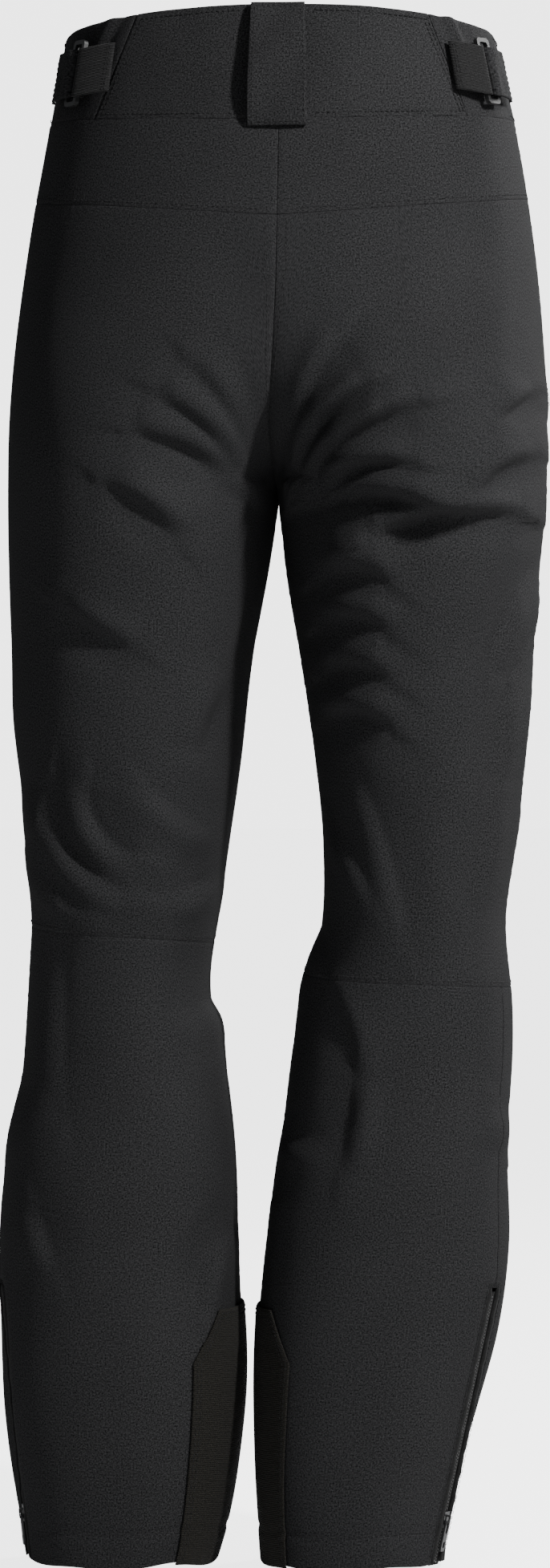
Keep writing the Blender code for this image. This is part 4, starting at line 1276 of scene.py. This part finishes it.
def belt_loop(name, v, half, foot, top, swell):
    """A strap standing off the waistband between its two sewn ends, with a stitched rim."""
    width, height = half * WAIST_PERIMETER, top - foot
    s = spaced(width, 0.0016)[None, :]
    t = spaced(height, 0.0022)[:, None]
    spots = v + mix(-half, half, s) + 0 * t
    levels = mix(foot, top, t) + 0 * s
    points = around(spots, levels)
    out = unit(np.cross(np.gradient(points, axis=0), np.gradient(points, axis=1)))
    stand = LOOP_STAND + swell * np.sin(math.pi * np.clip(t, 0.001, 0.999)) ** 0.6
    lift = stand + 0.7 * edge_profile(s, t, width, height)
    lift = lift + 0.0006 * np.sin(s * 5.0 + t * 9.0) + 0.0008 * (s - 0.5) * np.sin(t * 7.0)
    points = points + out * lift[..., None]
    grid_object(f"{name}_cloth", points, True, SHELL_LOOK, (name,), LOOP_THICKNESS)
    stitches = Stitches()
    rows, columns = points.shape[:2]
    for share in LOOP_RIMS:
        k = int(share * (columns - 1))
        stitches.row(points[2:-2, k], out[2:-2, k])
    for share in LOOP_ENDS:
        k = int(share * (rows - 1))
        stitches.row(points[k, 4:-4], out[k, 4:-4])
    stitches.make(f"{name}_stitches")


def build_loops():
    """The broad loop at the back and two narrow ones in front."""
    belt_loop("belt_loop_back", 0.0, BACK_LOOP_HALF_V, LOOP_FOOT_Z, LOOP_TOP_Z, BACK_LOOP_SWELL)
    for side, word in SIDES.items():
        v = side * FRONT_LOOPS_V
        foot = float(seam_level(np.array(v))) + 0.002
        top = float(top_level(np.array(v))) - 0.003
        belt_loop(f"belt_loop_front_{word}", v, FRONT_LOOP_HALF_V, foot, top, FRONT_LOOP_SWELL)


RING_V = {1: 0.310, -1: 0.343}
RING_WIDTH = 0.015
RING_BAR = 0.003
RING_CENTRE_Z = -0.041
RING_STAND = 0.0056            # the ring's middle lies this far off the plain body
SEWN_STAND = 0.0034            # and a strap's sewn end this far
FOLD_RADIUS = 0.0036           # of a strap round the ring's bar
STRAP_HALF_HEIGHT = 0.0165
STRAP_THICKNESS = 0.0012
ELASTIC_REACH = 0.024          # from the bar to the sewn end
ELASTIC_LEAN = 0.10            # the strap rises by this share of its way
TAB_REACH = 0.026
TAB_LEAN = -0.05
RIBS = 17                      # of the elastic
STRAP_STITCH_REST = 0.0007     # stitches lie this far over the middle of a strap's thickness


def along_waist(v, distance, z, stand):
    """The place v at a distance in metres from another, measured on the surface."""
    step = 0.01
    rate = np.linalg.norm(around(v + step, z, -stand) - around(v - step, z, -stand)) / (2 * step)
    return v + distance / rate


def strap(name, side, reach, loop_side, look, lean, ribbed):
    """A strap from its sewn end to the ring, folded round one bar of it. Returns its points."""
    bar = loop_side * (RING_WIDTH - RING_BAR) / 2
    share = np.linspace(0.0, 1.0, 16)
    angle = np.radians(90 - np.linspace(15, 180, 12))
    path = np.concatenate([bar + loop_side * reach * (1 - share),
                           bar - loop_side * FOLD_RADIUS * np.cos(angle)])
    stand = np.concatenate([mix(SEWN_STAND, RING_STAND + FOLD_RADIUS, share ** 0.5),
                            RING_STAND + FOLD_RADIUS * np.sin(angle)])
    count = 45 if ribbed else 25
    t = np.linspace(0.0, 1.0, count)[:, None]
    spot = path[None, :] + 0 * t
    z = RING_CENTRE_Z + mix(-STRAP_HALF_HEIGHT, STRAP_HALF_HEIGHT, t)
    z = z + lean * np.maximum(np.abs(spot) - 0.01, 0.0)
    if ribbed:
        stand = stand + 0.00012 * np.cos(math.tau * RIBS * t)
    else:
        stand = stand + 0.0005 * np.sin(spot * 420.0) * np.sin(t * 5.0)
    v = along_waist(side * RING_V[side], side * spot, RING_CENTRE_Z, RING_STAND)
    points = around(v, z) + (around(v, z, -0.01) - around(v, z)) / 0.01 * stand[..., None]
    columns = points.shape[1]
    flip = side * loop_side < 0
    made = link_mesh(f"{name}_cloth", points.reshape(-1, 3), grid_faces(columns, count, flip),
                     np.stack([spot, t * 2 * STRAP_HALF_HEIGHT + 0 * spot], axis=-1).reshape(-1, 2))
    thicken(made, STRAP_THICKNESS, 0.0)
    finish_piece(made, look, (name,))
    return points


def build_adjuster(side, word):
    """Elastic and pull tab; the moulded ring between them is the frame's own."""
    stitches = Stitches()
    for name, reach, loop_side, look, lean, ribbed in (
            (f"adjuster_elastic_{word}", ELASTIC_REACH, -1, ELASTIC_LOOK, ELASTIC_LEAN, True),
            (f"adjuster_tab_{word}", TAB_REACH, 1, SHELL_LOOK, TAB_LEAN, False)):
        points = strap(name, side, reach, loop_side, look, lean, ribbed)
        outward = unit(points.mean(axis=(0, 1)) - around(side * RING_V[side], RING_CENTRE_Z, 0.05))
        out = np.tile(outward, (points.shape[0], 1))
        for k in (1, 2):
            stitches.row(points[1:-1, k], out[1:-1], STRAP_STITCH_REST)
    stitches.make(f"adjuster_{word}_stitches")


# ---------------------------------------------------------------- zips

TAPE_HALF = 0.0005             # half the thickness of a tape
TAPE_EDGE = 0.0006             # a tape begins this far from the middle of its zip,
TAPE_WIDTH = 0.0088            # and ends this far from it
TAPE_CORD = 0.0002             # its edge by the teeth is this much thicker,
CORD_ENDS = (0.0026, 0.0042)   # and thins out between these distances from the middle
TOOTH_HALF = 0.0012
TOOTH_PITCH = 0.0022
TOOTH_LENGTH = 0.00125
# (distance off the middle, half width as a share of TOOTH_LENGTH)
TOOTH = [(0.0002, 0.34), (0.0010, 0.50), (0.0022, 0.40), (0.0026, 0.30)]
TEETH_STOP = 0.002             # the teeth end this far under the zip's upper end
WELT_STEPS = 90
WELT_ROW = 0.0126              # a row of stitches runs this far from the zip's middle
WELT_SWAY = 0.00022
HEM_WELT_START = 0.0022        # at the hem, the welts and the stitches begin a little above the zip's foot
HEM_STITCH_START = 0.0060
CAD_TAPE_WORDS = {"hem_zip_left": ("back", "front"), "hem_zip_right": ("front", "back"),
                  "pocket_zip_left": ("side", "front"), "pocket_zip_right": ("front", "side"),
                  "fly_zip": ("right", "left")}
WELT_PROFILE = [(0.0050, 0.0004), (0.0051, 0.0016), (0.0056, 0.0026), (0.0066, 0.0031),
                (0.0078, 0.0030), (0.0090, 0.0024), (0.0100, 0.0016), (0.0104, 0.0008)]


def swept(name, place, profile, stations, look, replaced=(), sway=0.0):
    """A closed bar: the outline across (X) and outward (Z), carried along Y through stations."""
    outline = np.array(profile)
    vertices, faces, uvs = [], [], []
    count = len(outline)
    run = np.concatenate([[0], np.cumsum(np.linalg.norm(np.diff(outline, axis=0), axis=1))])
    centre = outline.mean(axis=0)
    for k, (y, scale) in enumerate(stations):
        section = centre + (outline - centre) * scale
        wave = sway * math.sin(y * 310.0) + 0.6 * sway * math.sin(y * 711.0)
        for (x, z), along in zip(section, run):
            vertices.append((x, y, z + wave))
            uvs.append((along, y))
        if k:
            for c in range(count):
                a, b = (k - 1) * count + c, (k - 1) * count + (c + 1) % count
                faces.append((a, b, b + count, a + count))
    faces.append(tuple(range(count))[::-1])
    faces.append(tuple(range(len(vertices) - count, len(vertices))))
    area = sum(x0 * z1 - x1 * z0 for (x0, z0), (x1, z1) in zip(profile, profile[1:] + profile[:1]))
    if area > 0:
        faces = [face[::-1] for face in faces]
    made = link_mesh(name, world(np.array(vertices), place), faces, uvs)
    return finish_piece(made, look, replaced)


def tape(zipper_name, word, sign):
    """Half of a zip: the woven tape and its row of moulded teeth."""
    zipper = ZIPS[zipper_name]
    length = zipper["length"]
    cord = TAPE_HALF + TAPE_CORD
    profile = [(TAPE_EDGE, -TAPE_HALF), (TAPE_WIDTH, -TAPE_HALF), (TAPE_WIDTH, TAPE_HALF),
               (CORD_ENDS[1], TAPE_HALF), (CORD_ENDS[0], cord), (TAPE_EDGE, cord)]
    profile = [(sign * x, z) for x, z in profile]
    name = f"{zipper_name}_tape_{word}"
    swept(f"{name}_cloth", zipper["frame"], profile, [(y, 1.0) for y in np.linspace(0, length, 40)],
          TAPE_LOOK, (name,))
    vertices, faces = [], []
    places = np.arange(TOOTH_PITCH * (1.0 if sign > 0 else 1.5), length - TEETH_STOP, TOOTH_PITCH)
    for y in places:
        base = len(vertices)
        for x, half in TOOTH:
            rise = TOOTH_HALF * (0.55 + half * 0.8)
            for dy, dz in ((-1, -1), (1, -1), (1, 1), (-1, 1)):
                vertices.append((sign * x, y + dy * half * TOOTH_LENGTH, dz * rise))
        for k in range(len(TOOTH) - 1):
            for c in range(4):
                a, b = base + 4 * k + c, base + 4 * k + (c + 1) % 4
                faces.append((a, b, b + 4, a + 4))
        faces.append((base + 3, base + 2, base + 1, base))
        end = base + 4 * (len(TOOTH) - 1)
        faces.append((end, end + 1, end + 2, end + 3))
    if sign < 0:
        faces = [face[::-1] for face in faces]
    made = link_mesh(f"{name}_teeth", world(np.array(vertices), zipper["frame"]), faces)
    made.data.shade_flat()
    finish_piece(made, TEETH_LOOK)


def welts(zipper_name):
    """The two turned edges of the opening, and the stitches beside them."""
    zipper = ZIPS[zipper_name]
    place, length = zipper["frame"], zipper["length"]
    at_hem = zipper_name.startswith("hem")
    look = TAPE_LOOK if at_hem else SHELL_LOOK
    start, first_stitch = (HEM_WELT_START, HEM_STITCH_START) if at_hem else (-SLOT_PAST, -SLOT_PAST)
    stitches = Stitches()

    def sew(x, y):
        x, y = np.broadcast_arrays(x, y)
        row = np.stack([x, y, np.full(x.shape, LIP)], axis=-1)
        out = np.tile(np.array(place.col[2])[:3], (len(x), 1))
        stitches.row(world(row, place), out, STITCH_REST)

    for sign, word in ((-1, "a"), (1, "b")):
        profile = [(sign * x, z) for x, z in WELT_PROFILE]
        stations = []
        for k, y in enumerate(np.linspace(start, length + SLOT_PAST, WELT_STEPS)):
            stations.append((y, 0.35 + 0.65 * min(1.0, (k + 0.3) / 3, (WELT_STEPS - k) / 3)))
        swept(f"{zipper_name}_welt_{word}", place, profile, stations, look, sway=WELT_SWAY)
        sew(sign * WELT_ROW, np.linspace(first_stitch, length + 0.004, 60))
    ends = (length + 0.004, length + 0.0055)
    for y in ends if at_hem else (*ends, -0.004, -0.0055):
        sew(np.linspace(-WELT_ROW, WELT_ROW, 20), y)
    stitches.make(f"{zipper_name}_stitches")


def build_zips():
    """The soft parts and the teeth of all zips; the sliders and pullers are the frame's own."""
    for name, words in CAD_TAPE_WORDS.items():
        for word, sign in zip(words, (-1, 1)):
            tape(name, word, sign)
        welts(name)


# ---------------------------------------------------------------- inside

LINING_INSET = 0.0115
LINING_DROP = 0.004            # it ends this far under the waist seam
LINING_HEM_Z = -1.000
GAITER_INSET = 0.0155
GAITER_LEVELS = (-1.034, -0.868)
BAG_INSET = 0.0084
BAG_REACH = (-0.42, -0.04)     # u and
BAG_LEVELS = (-0.330, -0.112)  # z of the pocket bags
FLY_GUARD_INSET = 0.0093
FLY_GUARD_REACH = 0.055


def inner_surface(side, inset, size):
    """The body a little further in, with the soft unevenness of a light cloth."""
    def at(u, z):
        points = body(side, u, z, inset)
        out = normal_of(lambda a, b: body(side, a, b, inset), side, u, z)
        return points + out * (size * undulation(points, side))[..., None]
    return at


def build_inside(side, word):
    """Lining, pocket bag and snow gaiter of one side."""

    def under_facing(u):
        return waist_seam(u) - LINING_DROP

    panel(f"lining_{word}", side, edge(-1.0), edge(1.0), edge(LINING_HEM_Z), under_facing, 0.60, 0.92,
          surface=inner_surface(side, LINING_INSET, 0.25), look=LINING_LOOK, step=0.009)
    panel(f"pocket_bag_{word}", side, *map(edge, BAG_REACH), *map(edge, BAG_LEVELS), 0.12, 0.21,
          surface=inner_surface(side, BAG_INSET, 0.05), look=LINING_LOOK, step=0.006)

    low, high = GAITER_LEVELS

    def gaiter_surface(u, z):
        t = (z - low) / (high - low)
        gather = 0.0011 * np.sin(u * 58.0 + 2.0 * np.sin(t * 9.0)) * bell((t - 0.10) / 0.16)
        points = body(side, u, z, GAITER_INSET)
        out = normal_of(lambda a, b: body(side, a, b, GAITER_INSET), side, u, z)
        return points + out * (gather + 0.0006 * np.sin(t * 16.0 + u * 4.0))[..., None]

    panel(f"gaiter_{word}", side, edge(-1.0), edge(1.0), edge(low), edge(high),
          0.50, 0.166, surface=gaiter_surface, look=LINING_LOOK, step=0.0045, thickness=0.0009)


def build_fly_guard():
    """The wind guard behind the fly zip."""
    z = np.linspace(FLY_ENDS[0] - 0.012, FLY_ENDS[1] + 0.004, 50)[:, None]
    v = 1.0 + np.linspace(-FLY_GUARD_REACH, FLY_GUARD_REACH, 30)[None, :]
    points = around(v + 0 * z, z + 0 * v, FLY_GUARD_INSET)
    grid_object("fly_guard_cloth", points, True, SHELL_LOOK, ("fly_guard",), 0.0010)


def dress_frame():
    """Gives the frame's own hard parts their finish."""
    looks = {"slider": METAL_LOOK, "puller": METAL_LOOK, "snap": METAL_LOOK, "ring": RING_LOOK}
    for name, node in frame["nodes"].items():
        for word, look in looks.items():
            if word in name and not node.hide_render:
                node.data.materials.clear()
                node.data.materials.append(look)


# ---------------------------------------------------------------- floor and light

FLOOR_RADIUS = 60.0
FLOOR_GAP = 0.003               # the floor lies this far under the CAD's lowest point
FLOOR_GLOW = 3.2                # how pale the camera sees the floor; it lights nothing


def add_stage():
    """A plain floor, wide enough for a camera on any side."""
    floor_z = CAD_BOX[0][2] - FLOOR_GAP
    turn = np.linspace(0.0, math.tau, 96, endpoint=False)
    rim = [(FLOOR_RADIUS * math.cos(a), FLOOR_RADIUS * math.sin(a), floor_z) for a in turn]
    mesh = bpy.data.meshes.new("studio_floor")
    mesh.from_pydata(rim, [], [tuple(range(len(rim)))])
    made = in_scene("studio_floor", mesh)
    look, tree, shader = nodes_of("studio_paper")
    shader.inputs["Base Color"].default_value = (0.93, 0.93, 0.93, 1)
    shader.inputs["Roughness"].default_value = 0.9
    shader.inputs["Emission Color"].default_value = (1.0, 1.0, 1.0, 1)
    ray = add(tree, "ShaderNodeLightPath")
    glow = maths(tree, "MULTIPLY", ray.outputs["Is Camera Ray"], FLOOR_GLOW)
    tree.links.new(glow, shader.inputs["Emission Strength"])
    mesh.materials.append(look)


def add_light(name, place, target, size, power):
    """A soft light that points from its place to its target."""
    data = bpy.data.lights.new(name, "AREA")
    data.shape = "RECTANGLE"
    data.size, data.size_y = size
    data.energy = power
    made = in_scene(name, data)
    made.location = place
    made.rotation_euler = (Vector(target) - Vector(place)).to_track_quat("-Z", "Y").to_euler()


# (name, place, what it points at, size, power)
LIGHTS = [
    ("key", (-1.38, 1.26, 0.85), (0, 0, -0.30), (0.16, 0.30), 84),
    ("fill", (0.3, 3.0, 0.9), (0, 0, -0.3), (1.6, 1.8), 3),
    ("front_key", (-1.5, -1.9, 0.9), (0, 0, -0.40), (0.5, 0.8), 60),
]
BACKGROUND_STRENGTH = 3.5       # what the camera sees round the floor
AMBIENT_STRENGTH = 0.22         # what lights the pants from all sides


def add_lights():
    """A hard key from behind on the right, a weak fill, a light for the front, and a pale world."""
    for light in LIGHTS:
        add_light(*light)
    world_look = bpy.data.worlds.new("studio")
    world_look.use_nodes = True
    tree = world_look.node_tree
    seen = tree.nodes["Background"]
    seen.inputs["Color"].default_value = (1.0, 1.0, 1.0, 1)
    seen.inputs["Strength"].default_value = BACKGROUND_STRENGTH
    lighting = add(tree, "ShaderNodeBackground", Color=(0.95, 0.97, 1.0, 1), Strength=AMBIENT_STRENGTH)
    ray = add(tree, "ShaderNodeLightPath")
    either = add(tree, "ShaderNodeMixShader")
    tree.links.new(ray.outputs["Is Camera Ray"], either.inputs[0])
    tree.links.new(lighting.outputs[0], either.inputs[1])
    tree.links.new(seen.outputs[0], either.inputs[2])
    tree.links.new(either.outputs[0], tree.nodes["World Output"].inputs["Surface"])
    bpy.context.scene.world = world_look


add_camera()
add_stage()
add_lights()
DRAPED = {side: drape(side) for side in SIDES}
for side, word in SIDES.items():
    build_shell(side, word)
    build_scuff_guard(side, word)
    build_adjuster(side, word)
    build_inside(side, word)
build_seam_stitches()
build_waist()
build_closure()
build_loops()
build_zips()
build_fly_guard()
dress_frame()
